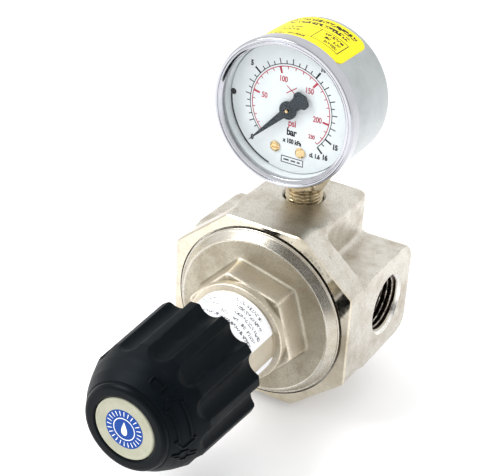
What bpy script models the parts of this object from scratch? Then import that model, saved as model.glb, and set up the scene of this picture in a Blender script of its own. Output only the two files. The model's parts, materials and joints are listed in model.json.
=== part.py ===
"""Pressure reducing valve with internal G 1/2 ports, a hand knob and a bottom-entry pressure gauge.

Units are metres, +Z is up and the valve stands on the flat end of its lower gauge boss. Dimensions below are
given in millimetres and scaled once. Along the valve's own axis, a station is the distance in front of the
joint between the body and the bonnet: the knob is at the high stations and the body at the negative ones.
"""
import math

import bmesh
import bpy
from mathutils import Matrix, Vector

MM = 0.001

# Body
AXIS_HEIGHT = 36.0            # valve axis above the base
FRONT_STATION = 77.0          # front of the knob
REAR_STATION = -48.0          # back of the port bar
FLANGE_WIDTH = 68.2
FLANGE_HEIGHT = 66.4
FLANGE_CORNER_X = 19.7
FLANGE_CORNER_Z = 16.55
FLANGE_FRONT = -0.7
FLANGE_REAR = -12.0
PORT_BAR_HALF_HEIGHT = 18.0
PORT_BAR_FRONT = -11.0
PORT_STATION = -30.0
PORT_RADIUS = 9.32            # crest radius of the internal G 1/2 thread
PORT_CHAMFER_RADIUS = 10.6
GAUGE_BAR_HALF_WIDTH = 17.3
GAUGE_BAR_FRONT = -9.0
GAUGE_BAR_REAR = -44.5
GAUGE_BAR_TOP = 33.2
BAR_EDGE_RADIUS = 4.0
GAUGE_PORT_STATION = -28.0
GAUGE_PORT_RADIUS = 6.9
GAUGE_PORT_CHAMFER = 7.6
PLUG_RECESS_RADIUS = 9.2

# Chambers, from the bonnet backwards
SOCKET_RADIUS = 27.5          # threaded socket of the bonnet
DIAPHRAGM_SHOULDER = -9.0
OUTLET_RADIUS = 19.0
OUTLET_FLOOR = -20.0
SEAT_BORE_RADIUS = 9.6
SEAT_BORE_END = -24.0
INLET_RADIUS = 12.5
INLET_FLOOR = -43.0
PASSAGE_OFFSET = 18.5
PASSAGE_RADIUS = 4.2

# Bonnet
RIM_RADIUS = 31.2
HEXAGON_BASE = 38.0           # across flats where it leaves the face
HEXAGON_TOP = 36.0
HEXAGON_ANGLE = 46.2          # degrees, first corner
NECK_RADIUS = 15.4
NECK_END = 50.0
SPRING_CHAMBER_RADIUS = 13.0
KEYWAY_RADIUS = 14.4
KEYWAY_WIDTH = 3.8

# Knob
KNOB_REAR = 36.0
KNOB_BORE = 16.6
FLUTE_COUNT = 12
FLUTE_RADIUS = 4.5
FLUTE_CENTRE = 23.8
FLUTE_END = 63.0
FLUTE_ANGLE = 21.0            # degrees, first flute
DRIVE_RADIUS = 4.62           # corners of the spindle's hexagonal end
CAP_RADIUS = 10.6

# Gauge, centred above the valve axis
GAUGE_HEIGHT = 70.2
CASE_RADIUS = 24.6
RING_RADIUS = 25.4
DIAL_STATION = -13.8
POINTER_START = 225.0         # degrees, anticlockwise from the right
PINION_TEETH = 10
SECTOR_TEETH = 45             # on the whole circle
GEAR_MODULE = 0.4
SECTOR_PIVOT_ANGLE = 215.0
SECTOR_SWING = 60.0
TAIL_RADIUS = 3.2
SCREW_X = 4.7
SCREW_DROP = 14.4


def clearScene():
    for old in list(bpy.data.objects):
        bpy.data.objects.remove(old, do_unlink=True)


def newCollection(name):
    collection = bpy.data.collections.new(name)
    bpy.context.scene.collection.children.link(collection)
    return collection


def newMaterial(name, color, roughness, metallic=0.0, alpha=1.0):
    material = bpy.data.materials.new(name)
    material.use_nodes = True
    shader = material.node_tree.nodes["Principled BSDF"]
    shader.inputs["Base Color"].default_value = (*color, 1.0)
    shader.inputs["Roughness"].default_value = roughness
    shader.inputs["Metallic"].default_value = metallic
    shader.inputs["Alpha"].default_value = alpha
    return material


def newEmpty(name, location, turn=0.0, parent=None):
    empty = bpy.data.objects.new(name, None)
    empty.empty_display_size = 0.01
    empty.location = Vector(location) * MM
    empty.rotation_euler = (math.radians(turn), 0.0, 0.0)
    empty.parent = parent
    parts.objects.link(empty)
    return empty


def addObject(name, mesh, material, parent, cutter=False):
    """Makes an object of a sub-part, or of a cutter that only shapes other sub-parts."""
    item = bpy.data.objects.new(name, mesh)
    item.parent = parent
    if cutter:
        cutters.objects.link(item)
        item.hide_render = True
        item.display_type = "WIRE"
    else:
        parts.objects.link(item)
        mesh.materials.append(material)
    return item


def turned(name, profile, material=None, parent=None, steps=48, ring=False, cutter=False, smooth=True):
    """Turns a profile of (radius, height) about local Z. It runs down the outer side, and a ring closes on
    itself."""
    mesh = bpy.data.meshes.new(name)
    shape = bmesh.new()
    corners = [shape.verts.new((radius * MM, 0.0, height * MM)) for radius, height in profile]
    for first, second in zip(corners, corners[1:]):
        shape.edges.new((first, second))
    if ring:
        shape.edges.new((corners[-1], corners[0]))
    shape.to_mesh(mesh)
    shape.free()
    item = addObject(name, mesh, material, parent, cutter)
    screw = item.modifiers.new("Turn", "SCREW")
    screw.axis = "Z"
    screw.steps = steps
    screw.render_steps = steps
    screw.use_merge_vertices = True
    screw.merge_threshold = 0.00001
    screw.use_smooth_shade = smooth
    return item


def bar(name, size, centre, material=None, parent=None, cutter=False):
    """Makes a box of a size about a centre, with the scale already in its mesh."""
    mesh = bpy.data.meshes.new(name)
    shape = bmesh.new()
    bmesh.ops.create_cube(shape, size=1.0)
    bmesh.ops.scale(shape, vec=Vector(size) * MM, verts=shape.verts)
    bmesh.ops.translate(shape, vec=Vector(centre) * MM, verts=shape.verts)
    shape.to_mesh(mesh)
    shape.free()
    return addObject(name, mesh, material, parent, cutter)


def roundEdges(item, axis, radius, segments=5):
    """Rounds a box's four edges along one axis."""
    shape = bmesh.new()
    shape.from_mesh(item.data)
    along = [edge for edge in shape.edges
             if abs((edge.verts[1].co - edge.verts[0].co).normalized()[axis]) > 0.99]
    bmesh.ops.bevel(shape, geom=along, offset=radius * MM, segments=segments, profile=0.5, affect="EDGES")
    shape.to_mesh(item.data)
    shape.free()


def rod(name, radius, start, end, material=None, parent=None, steps=24, cutter=False, tip=None):
    """Makes a cylinder, or a cone with another tip radius, between two points."""
    begin = Vector(start) * MM
    finish = Vector(end) * MM
    mesh = bpy.data.meshes.new(name)
    shape = bmesh.new()
    bmesh.ops.create_cone(shape, cap_ends=True, segments=steps, radius1=radius * MM,
                          radius2=(radius if tip is None else tip) * MM, depth=(finish - begin).length)
    turn = (finish - begin).to_track_quat("Z", "Y").to_matrix().to_4x4()
    bmesh.ops.transform(shape, matrix=Matrix.Translation((begin + finish) / 2) @ turn, verts=shape.verts)
    shape.to_mesh(mesh)
    shape.free()
    return addObject(name, mesh, material, parent, cutter)


def curveMesh(name, curve):
    """Turns a curve into a welded mesh, ready for Booleans."""
    holder = bpy.data.objects.new(name, curve)
    bpy.context.scene.collection.objects.link(holder)
    bpy.context.view_layer.update()
    evaluated = holder.evaluated_get(bpy.context.evaluated_depsgraph_get())
    mesh = bpy.data.meshes.new_from_object(evaluated)
    bpy.data.objects.remove(holder, do_unlink=True)
    shape = bmesh.new()
    shape.from_mesh(mesh)
    bmesh.ops.remove_doubles(shape, verts=shape.verts, dist=0.000001)
    bmesh.ops.recalc_face_normals(shape, faces=shape.faces)
    shape.to_mesh(mesh)
    shape.free()
    mesh.name = name
    return mesh


def flatPlate(name, outlines, low, high, material=None, parent=None, cutter=False):
    """Extrudes flat outlines between two heights. An outline inside another one is a hole."""
    curve = bpy.data.curves.new(name, "CURVE")
    curve.dimensions = "2D"
    curve.fill_mode = "BOTH"
    curve.extrude = (high - low) / 2 * MM
    for outline in outlines:
        spline = curve.splines.new("POLY")
        spline.points.add(len(outline) - 1)
        for point, (x, y) in zip(spline.points, outline):
            point.co = (x * MM, y * MM, 0.0, 1.0)
        spline.use_cyclic_u = True
    mesh = curveMesh(name, curve)
    mesh.transform(Matrix.Translation((0.0, 0.0, (high + low) / 2 * MM)))
    return addObject(name, mesh, material, parent, cutter)


def wire(name, path, radius, material, parent, sides=2):
    """Sweeps a round wire along a path of points, with its ends closed."""
    curve = bpy.data.curves.new(name, "CURVE")
    curve.dimensions = "3D"
    curve.bevel_depth = radius * MM
    curve.bevel_resolution = sides
    curve.use_fill_caps = True
    spline = curve.splines.new("POLY")
    spline.points.add(len(path) - 1)
    for point, place in zip(spline.points, path):
        point.co = (*(Vector(place) * MM), 1.0)
    return addObject(name, curveMesh(name, curve), material, parent)


def cut(item, tool, operation="DIFFERENCE"):
    boolean = item.modifiers.new(tool.name, "BOOLEAN")
    boolean.operation = operation
    boolean.object = tool
    boolean.solver = "EXACT"


def circlePoints(radius, count=24, centre=(0.0, 0.0)):
    return [(centre[0] + radius * math.cos(2 * math.pi * k / count),
             centre[1] + radius * math.sin(2 * math.pi * k / count)) for k in range(count)]


def polar(radius, degrees, centre=(0.0, 0.0)):
    angle = math.radians(degrees)
    return (centre[0] + radius * math.cos(angle), centre[1] + radius * math.sin(angle))


def coil(radius, low, high, wireRadius, turns, perTurn=14):
    """Gives the centre line of a compression spring whose end turns lie flat."""
    bottom = low + wireRadius
    top = high - wireRadius
    dead = wireRadius * 2.1
    steps = int(turns * perTurn)
    path = []
    for step in range(steps + 1):
        turn = step / perTurn
        if turn < 1.0:
            height = bottom + dead * turn
        elif turn > turns - 1.0:
            height = top - dead * (turns - turn)
        else:
            height = bottom + dead + (top - bottom - 2 * dead) * (turn - 1.0) / (turns - 2.0)
        path.append((*polar(radius, turn * 360.0), height))
    return path


def toothedArc(pitchRadius, first, last, pitchAngle, outward=0.34, inward=0.5):
    """Gives the points of trapezoid teeth whose centres lie from one angle to another."""
    points = []
    count = round((last - first) / pitchAngle)
    for tooth in range(count + 1):
        middle = first + tooth * pitchAngle
        flank = math.degrees(GEAR_MODULE / pitchRadius)
        points.append(polar(pitchRadius - inward, middle - 0.78 * flank))
        points.append(polar(pitchRadius + outward, middle - 0.28 * flank))
        points.append(polar(pitchRadius + outward, middle + 0.28 * flank))
        points.append(polar(pitchRadius - inward, middle + 0.78 * flank))
    return points


def makeBody():
    """Makes the forged body: flange, port bar, gauge bar, chambers and ports."""
    wide = FLANGE_WIDTH / 2
    high = FLANGE_HEIGHT / 2
    octagon = []
    for signX, signZ, flip in ((1, 1, False), (-1, 1, True), (-1, -1, False), (1, -1, True)):
        corner = [(signX * wide, signZ * (high - FLANGE_CORNER_Z)),
                  (signX * (wide - FLANGE_CORNER_X), signZ * high)]
        octagon += corner[::-1] if flip else corner
    body = flatPlate("valve_body", [octagon], FLANGE_REAR, FLANGE_FRONT, nickel, valveAxis)
    portBar = bar("port_bar", (FLANGE_WIDTH, 2 * PORT_BAR_HALF_HEIGHT, PORT_BAR_FRONT - REAR_STATION),
                  (0.0, 0.0, (PORT_BAR_FRONT + REAR_STATION) / 2), parent=valveAxis, cutter=True)
    roundEdges(portBar, 0, BAR_EDGE_RADIUS)
    gaugeBar = bar("gauge_bar", (2 * GAUGE_BAR_HALF_WIDTH, GAUGE_BAR_TOP + AXIS_HEIGHT,
                                 GAUGE_BAR_FRONT - GAUGE_BAR_REAR),
                   (0.0, (GAUGE_BAR_TOP - AXIS_HEIGHT) / 2, (GAUGE_BAR_FRONT + GAUGE_BAR_REAR) / 2),
                   parent=valveAxis, cutter=True)
    roundEdges(gaugeBar, 1, BAR_EDGE_RADIUS)
    cut(body, portBar, "UNION")
    cut(body, gaugeBar, "UNION")

    chamber = turned("chamber", [(0.0, 2.0), (SOCKET_RADIUS, 2.0), (SOCKET_RADIUS, DIAPHRAGM_SHOULDER),
                                 (OUTLET_RADIUS, DIAPHRAGM_SHOULDER), (OUTLET_RADIUS, OUTLET_FLOOR),
                                 (SEAT_BORE_RADIUS, OUTLET_FLOOR), (SEAT_BORE_RADIUS, SEAT_BORE_END),
                                 (INLET_RADIUS, SEAT_BORE_END), (INLET_RADIUS, INLET_FLOOR),
                                 (0.0, INLET_FLOOR)], parent=valveAxis, cutter=True)
    cut(body, chamber)

    face = FLANGE_WIDTH / 2
    for name, side, depth in (("inlet_bore", -1, 26.0), ("outlet_bore", 1, 17.0)):
        bore = turned(name, [(0.0, 2.0), (PORT_CHAMFER_RADIUS + 1.5, 2.0), (PORT_CHAMFER_RADIUS, 0.0),
                             (PORT_RADIUS, -1.3), (PORT_RADIUS, -depth), (0.0, -depth - 2.0)],
                      parent=valveAxis, steps=32, cutter=True)
        bore.location = Vector((side * face, 0.0, PORT_STATION)) * MM
        bore.rotation_euler = (0.0, side * math.pi / 2, 0.0)
        cut(body, bore)
    passage = rod("outlet_passage", PASSAGE_RADIUS, (PASSAGE_OFFSET, 0.0, -15.0),
                  (PASSAGE_OFFSET, 0.0, PORT_STATION), parent=valveAxis, cutter=True)
    cut(body, passage)

    gaugeBore = turned("gauge_bore", [(0.0, 2.0), (GAUGE_PORT_CHAMFER, 2.0), (GAUGE_PORT_CHAMFER, 0.0),
                                      (GAUGE_PORT_RADIUS, -0.9), (GAUGE_PORT_RADIUS, -12.0), (0.0, -14.5)],
                       parent=valveAxis, steps=32, cutter=True)
    gaugeBore.location = Vector((0.0, GAUGE_BAR_TOP, GAUGE_PORT_STATION)) * MM
    gaugeBore.rotation_euler = (-math.pi / 2, 0.0, 0.0)
    cut(body, gaugeBore)
    plugBore = turned("plug_bore", [(0.0, 2.0), (PLUG_RECESS_RADIUS, 2.0), (PLUG_RECESS_RADIUS, -3.2),
                                    (6.3, -3.2), (6.3, -13.0), (0.0, -15.5)],
                      parent=valveAxis, steps=32, cutter=True)
    plugBore.location = Vector((0.0, -AXIS_HEIGHT, GAUGE_PORT_STATION)) * MM
    plugBore.rotation_euler = (math.pi / 2, 0.0, 0.0)
    cut(body, plugBore)
    for name, side in (("upper_duct", 1), ("lower_duct", -1)):
        duct = rod(name, 1.3, (0.0, side * 24.0, GAUGE_PORT_STATION), (0.0, side * 16.5, -17.0),
                   parent=valveAxis, steps=12, cutter=True)
        cut(body, duct)


def makeBonnet():
    """Makes the spring bonnet: threaded foot, coned rim, hexagon, collar and neck."""
    bonnet = turned("bonnet", [(5.6, NECK_END), (NECK_RADIUS - 0.8, NECK_END), (NECK_RADIUS, NECK_END - 0.8),
                               (NECK_RADIUS, 15.3), (17.4, 15.3), (17.8, 14.9), (17.8, 11.0), (17.8, 3.5),
                               (27.9, 3.5), (28.6, 3.1), (30.9, 0.9), (RIM_RADIUS, 0.4), (RIM_RADIUS, -0.4),
                               (27.0, -0.4), (27.0, -6.2), (22.6, -6.2), (22.6, -2.5),
                               (SPRING_CHAMBER_RADIUS, 5.0), (SPRING_CHAMBER_RADIUS, NECK_END - 4.0),
                               (5.6, NECK_END - 4.0)], nickel, valveAxis, ring=True)
    hexagon = rod("bonnet_hexagon", HEXAGON_BASE / math.sqrt(3), (0.0, 0.0, 3.0), (0.0, 0.0, 12.5),
                  parent=valveAxis, steps=6, cutter=True, tip=HEXAGON_TOP / math.sqrt(3))
    hexagon.rotation_euler = (0.0, 0.0, math.radians(HEXAGON_ANGLE - 30.0))
    hexagonBore = rod("hexagon_bore", 16.0, (0.0, 0.0, -1.0), (0.0, 0.0, 20.0), parent=valveAxis, steps=48,
                      cutter=True)
    cut(hexagon, hexagonBore)
    cut(bonnet, hexagon, "UNION")
    keyways = bar("bonnet_keyways", (2 * KEYWAY_RADIUS, KEYWAY_WIDTH, 22.0), (0.0, 0.0, 31.0),
                  parent=valveAxis, cutter=True)
    cut(bonnet, keyways)


def makeSpindle():
    """Makes the adjusting spindle with its collar, hexagonal drive and clip, and the spring nut on it."""
    spindle = turned("adjusting_spindle", [(0.0, 51.8), (4.3, 51.8), (4.3, 51.5), (5.2, 51.5), (5.2, 51.3),
                                           (4.4, 51.3), (4.4, 50.3), (5.2, 50.3), (5.2, 45.7), (8.4, 45.7),
                                           (8.4, 43.4), (4.9, 43.4), (4.9, 9.0), (4.0, 8.0), (0.0, 8.0)],
                     brass, knobAxis, steps=24)
    drive = rod("spindle_drive", DRIVE_RADIUS, (0.0, 0.0, 51.0), (0.0, 0.0, 66.0), parent=knobAxis, steps=6,
                cutter=True)
    screwHole = rod("spindle_screw_hole", 2.65, (0.0, 0.0, 56.0), (0.0, 0.0, 68.0), parent=knobAxis,
                    cutter=True)
    cut(spindle, drive, "UNION")
    cut(spindle, screwHole)

    turned("spindle_clip", [(8.2, 51.1), (8.2, 50.5), (4.7, 50.5), (4.7, 51.1)], springSteel, knobAxis,
           steps=32, ring=True)

    nut = turned("spring_nut", [(12.6, 33.0), (12.6, 29.0), (8.0, 29.0), (8.0, 25.0), (5.3, 25.0),
                                (5.3, 33.0)], brass, nutAxis, steps=32, ring=True)
    lugs = bar("spring_nut_lugs", (2 * KEYWAY_RADIUS - 0.8, KEYWAY_WIDTH - 0.8, 4.0), (0.0, 0.0, 31.0),
               parent=nutAxis, cutter=True)
    lugBore = rod("spring_nut_bore", 9.0, (0.0, 0.0, 20.0), (0.0, 0.0, 40.0), parent=nutAxis, cutter=True)
    cut(lugs, lugBore)
    cut(nut, lugs, "UNION")


def makeKnob():
    """Makes the fluted knob, its cap and the screw that holds it on the spindle."""
    knob = turned("adjusting_knob", [(0.0, 75.0), (10.9, 75.0), (10.9, FRONT_STATION), (13.6, FRONT_STATION),
                                     (14.5, 76.6), (14.9, 75.8), (14.9, 75.2), (15.3, 75.0), (20.9, 64.9),
                                     (21.4, 63.4), (22.4, KNOB_REAR + 0.5), (21.9, KNOB_REAR),
                                     (KNOB_BORE, KNOB_REAR), (KNOB_BORE, 53.5), (0.0, 53.5)],
                  blackPlastic, knobAxis)
    flute = turned("knob_flute", [(0.0, FLUTE_RADIUS)]
                   + [polar(FLUTE_RADIUS, 90.0 - 18.0 * k) for k in range(1, 6)]
                   + [(FLUTE_RADIUS, -40.0), (0.0, -40.0)], parent=knobAxis, steps=16, cutter=True)
    for k in range(FLUTE_COUNT):
        tool = flute
        if k:
            tool = flute.copy()
            cutters.objects.link(tool)
        x, y = polar(FLUTE_CENTRE, FLUTE_ANGLE + k * 360.0 / FLUTE_COUNT)
        tool.location = Vector((x, y, FLUTE_END)) * MM
        cut(knob, tool)
    socket = rod("knob_drive_socket", DRIVE_RADIUS + 0.35, (0.0, 0.0, 50.0), (0.0, 0.0, 66.3),
                 parent=knobAxis, steps=6, cutter=True)
    screwWay = turned("knob_screw_way", [(0.0, 76.0), (4.6, 76.0), (4.6, 68.2), (2.7, 68.2), (2.7, 60.0),
                                         (0.0, 60.0)], parent=knobAxis, steps=24, cutter=True)
    cut(knob, socket)
    cut(knob, screwWay)

    turned("knob_cap", [(0.0, 76.8), (CAP_RADIUS - 0.3, 76.8), (CAP_RADIUS, 76.5), (CAP_RADIUS, 75.3),
                        (0.0, 75.3)], creamPlastic, knobAxis, steps=48)
    screw = turned("knob_screw", [(0.0, 71.6), (3.2, 71.6), (4.2, 70.4), (4.2, 68.5), (2.3, 68.5),
                                  (2.3, 58.0), (0.0, 58.0)], steel, knobAxis, steps=24)
    slot = bar("knob_screw_slot", (10.0, 1.0, 2.4), (0.0, 0.0, 71.6), parent=knobAxis, cutter=True)
    cut(screw, slot)


def makeValveInsert():
    """Makes the seat, the strainer and everything that rides on the valve stem."""
    turned("seat_insert", [(12.0, -18.0), (12.0, -19.7), (9.2, -19.7), (9.2, -20.9), (7.5, -20.9),
                           (7.5, -23.1), (9.2, -23.1), (9.2, -24.6), (8.2, -25.4), (7.0, -25.4), (6.6, -26.0),
                           (6.0, -26.0), (6.0, -18.0)], brass, valveAxis, steps=28, ring=True)
    turned("seat_insert_seal", [polar(0.75, 90.0 - 60.0 * k, (8.55, -22.0)) for k in range(6)], rubber,
           valveAxis, steps=28, ring=True)
    turned("strainer", [(12.0, -26.6), (12.0, -42.6), (11.4, -42.6), (11.4, -26.6)], wireCloth, valveAxis,
           steps=40, ring=True)

    turned("diaphragm", [(27.0, -7.5), (27.0, -8.7), (21.8, -8.7), (20.6, -7.4), (18.8, -6.7), (17.2, -7.4),
                         (16.0, -8.7), (2.3, -8.7), (2.3, -7.5), (15.6, -7.5), (16.9, -6.2), (18.8, -5.5),
                         (20.8, -6.2), (22.0, -7.5)], rubber, stemAxis, steps=36, ring=True)
    turned("slip_ring", [(27.0, -6.5), (27.0, -7.2), (22.6, -7.2), (22.6, -6.5)], brass, valveAxis, steps=48,
           ring=True)
    turned("diaphragm_plate", [(8.0, -2.0), (8.0, -5.0), (15.2, -5.0), (15.2, -7.2), (2.3, -7.2),
                               (2.3, -2.0)], steel, stemAxis, steps=40, ring=True)
    turned("diaphragm_washer", [(14.0, -9.0), (14.0, -10.2), (2.3, -10.2), (2.3, -9.0)], brass, stemAxis,
           steps=40, ring=True)
    turned("valve_stem", [(0.0, 2.6), (1.6, 2.6), (2.0, 2.2), (2.0, -10.5), (3.4, -10.5), (3.4, -12.5),
                          (2.0, -12.5), (2.0, -35.0), (0.0, -35.0)], brass, stemAxis, steps=24)
    flatPlate("stem_nut", [circlePoints(4.1, 6), circlePoints(2.3)], -1.7, 1.3, steel, stemAxis)
    flatPlate("poppet_nut", [circlePoints(3.75, 6), circlePoints(2.3)], -27.3, -25.1, steel, stemAxis)
    turned("poppet_disc", [(8.0, -27.6), (8.0, -29.4), (2.3, -29.4), (2.3, -27.6)], rubber, stemAxis,
           steps=32, ring=True)
    turned("poppet", [(8.6, -29.7), (8.6, -33.2), (4.6, -33.2), (4.6, -36.0), (2.3, -36.0), (2.3, -29.7)],
           brass, stemAxis, steps=32, ring=True)
    wire("poppet_spring", coil(6.6, -42.7, -33.5, 0.5, 4.5), 0.5, springSteel, valveAxis, sides=1)
    wire("control_spring", coil(10.2, -4.7, 28.7, 1.7, 7.0), 1.7, springSteel, valveAxis,
         sides=1)


def makePlug():
    """Makes the plug and sealing ring of the unused lower gauge port."""
    plug = turned("gauge_port_plug", [(0.0, 10.1), (5.2, 10.1), (5.9, 9.3), (5.9, 2.1), (8.6, 2.1),
                                      (8.6, 0.8), (8.2, 0.4), (0.0, 0.4)], nickel, plugAxis, steps=32)
    slot = bar("plug_slot", (20.0, 1.8, 1.6), (0.0, 0.0, 0.4), parent=plugAxis, cutter=True)
    cut(plug, slot)
    turned("gauge_plug_seal", [(8.4, 2.9), (8.4, 2.4), (6.2, 2.4), (6.2, 2.9)], rubber, plugAxis, steps=32,
           ring=True)


def makeGaugeCase():
    """Makes the gauge's case, ring, window, dial, screws, socket and seal."""
    case = turned("gauge_case", [(CASE_RADIUS, -10.9), (CASE_RADIUS, -34.6), (CASE_RADIUS - 1.4, -36.0),
                                 (0.0, -36.0), (0.0, -35.2), (CASE_RADIUS - 1.7, -35.2),
                                 (CASE_RADIUS - 0.8, -34.3), (CASE_RADIUS - 0.8, -10.9)],
                  chrome, gaugeAxis)
    closeProfile(case)
    hole = rod("case_hole", 5.5, (0.0, -30.0, GAUGE_PORT_STATION), (0.0, -15.0, GAUGE_PORT_STATION),
               parent=gaugeAxis, cutter=True)
    cut(case, hole)
    turned("gauge_ring", [(22.6, -7.8), (23.4, -7.6), (24.6, -7.8), (25.2, -8.6), (RING_RADIUS, -9.6),
                          (RING_RADIUS, -12.4), (25.1, -12.8), (24.9, -12.8), (24.9, -9.0), (22.6, -9.0)],
           chrome, gaugeAxis, ring=True)
    turned("gauge_window", [(0.0, -9.3), (24.5, -9.3), (24.5, -10.6), (0.0, -10.6)], clear, gaugeAxis)
    holes = [circlePoints(1.4, 16)]
    holes += [circlePoints(1.25, 12, (side * SCREW_X, -SCREW_DROP)) for side in (-1, 1)]
    flatPlate("gauge_dial", [circlePoints(22.6, 48)] + holes, DIAL_STATION - 0.6, DIAL_STATION, white,
              gaugeAxis)
    for name, side in (("dial_screw_left", -1), ("dial_screw_right", 1)):
        screw = turned(name, [(0.0, 0.8), (1.3, 0.7), (1.8, 0.3), (0.9, 0.3), (0.9, -3.0), (0.0, -3.0)],
                       brass, gaugeAxis, steps=20)
        screw.location = Vector((side * SCREW_X, -SCREW_DROP, DIAL_STATION)) * MM
        slot = bar(name + "_slot", (4.0, 0.5, 0.8), (0.0, 0.0, 0.8), parent=screw, cutter=True)
        cut(screw, slot)

    block = bar("gauge_socket", (15.0, 7.4, 16.0), (0.0, -16.3, -23.0), brass, gaugeAxis)
    stem = turned("socket_stem", [(0.0, -19.0), (4.9, -19.0), (4.9, -26.5), (6.5, -26.5), (6.5, -47.0),
                                  (5.8, -48.0), (0.0, -48.0)], parent=socketAxis, steps=32, cutter=True)
    wrench = bar("socket_flats", (14.0, 14.0, 6.9), (0.0, 0.0, -29.75), parent=socketAxis, cutter=True)
    duct = rod("socket_duct", 1.5, (0.0, 0.0, -50.0), (0.0, 0.0, -17.0), parent=socketAxis, steps=12,
               cutter=True)
    sideDuct = rod("socket_side_duct", 1.1, (0.0, 0.0, -17.5), (12.0, 0.0, -17.5), parent=socketAxis,
                   steps=12, cutter=True)
    cut(block, stem, "UNION")
    cut(block, wrench, "UNION")
    for side in (-1, 1):
        screwHole = rod("socket_screw_hole", 1.25, (side * SCREW_X, -SCREW_DROP, -10.0),
                        (side * SCREW_X, -SCREW_DROP, -18.5), parent=gaugeAxis, steps=12, cutter=True)
        cut(block, screwHole)
    cut(block, duct)
    cut(block, sideDuct)
    turned("gauge_seal", [(7.2, -24.9), (7.2, -26.0), (5.2, -26.0), (5.2, -24.9)], rubber, socketAxis,
           steps=32, ring=True)


def closeProfile(item):
    """Leaves a profile open where it starts and ends on the turning axis."""
    shape = bmesh.new()
    shape.from_mesh(item.data)
    shape.verts.ensure_lookup_table()
    shape.edges.new((shape.verts[-1], shape.verts[0]))
    middle = [edge for edge in shape.edges if all(abs(vert.co.x) < 1e-9 for vert in edge.verts)]
    bmesh.ops.delete(shape, geom=middle, context="EDGES")
    shape.to_mesh(item.data)
    shape.free()


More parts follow.
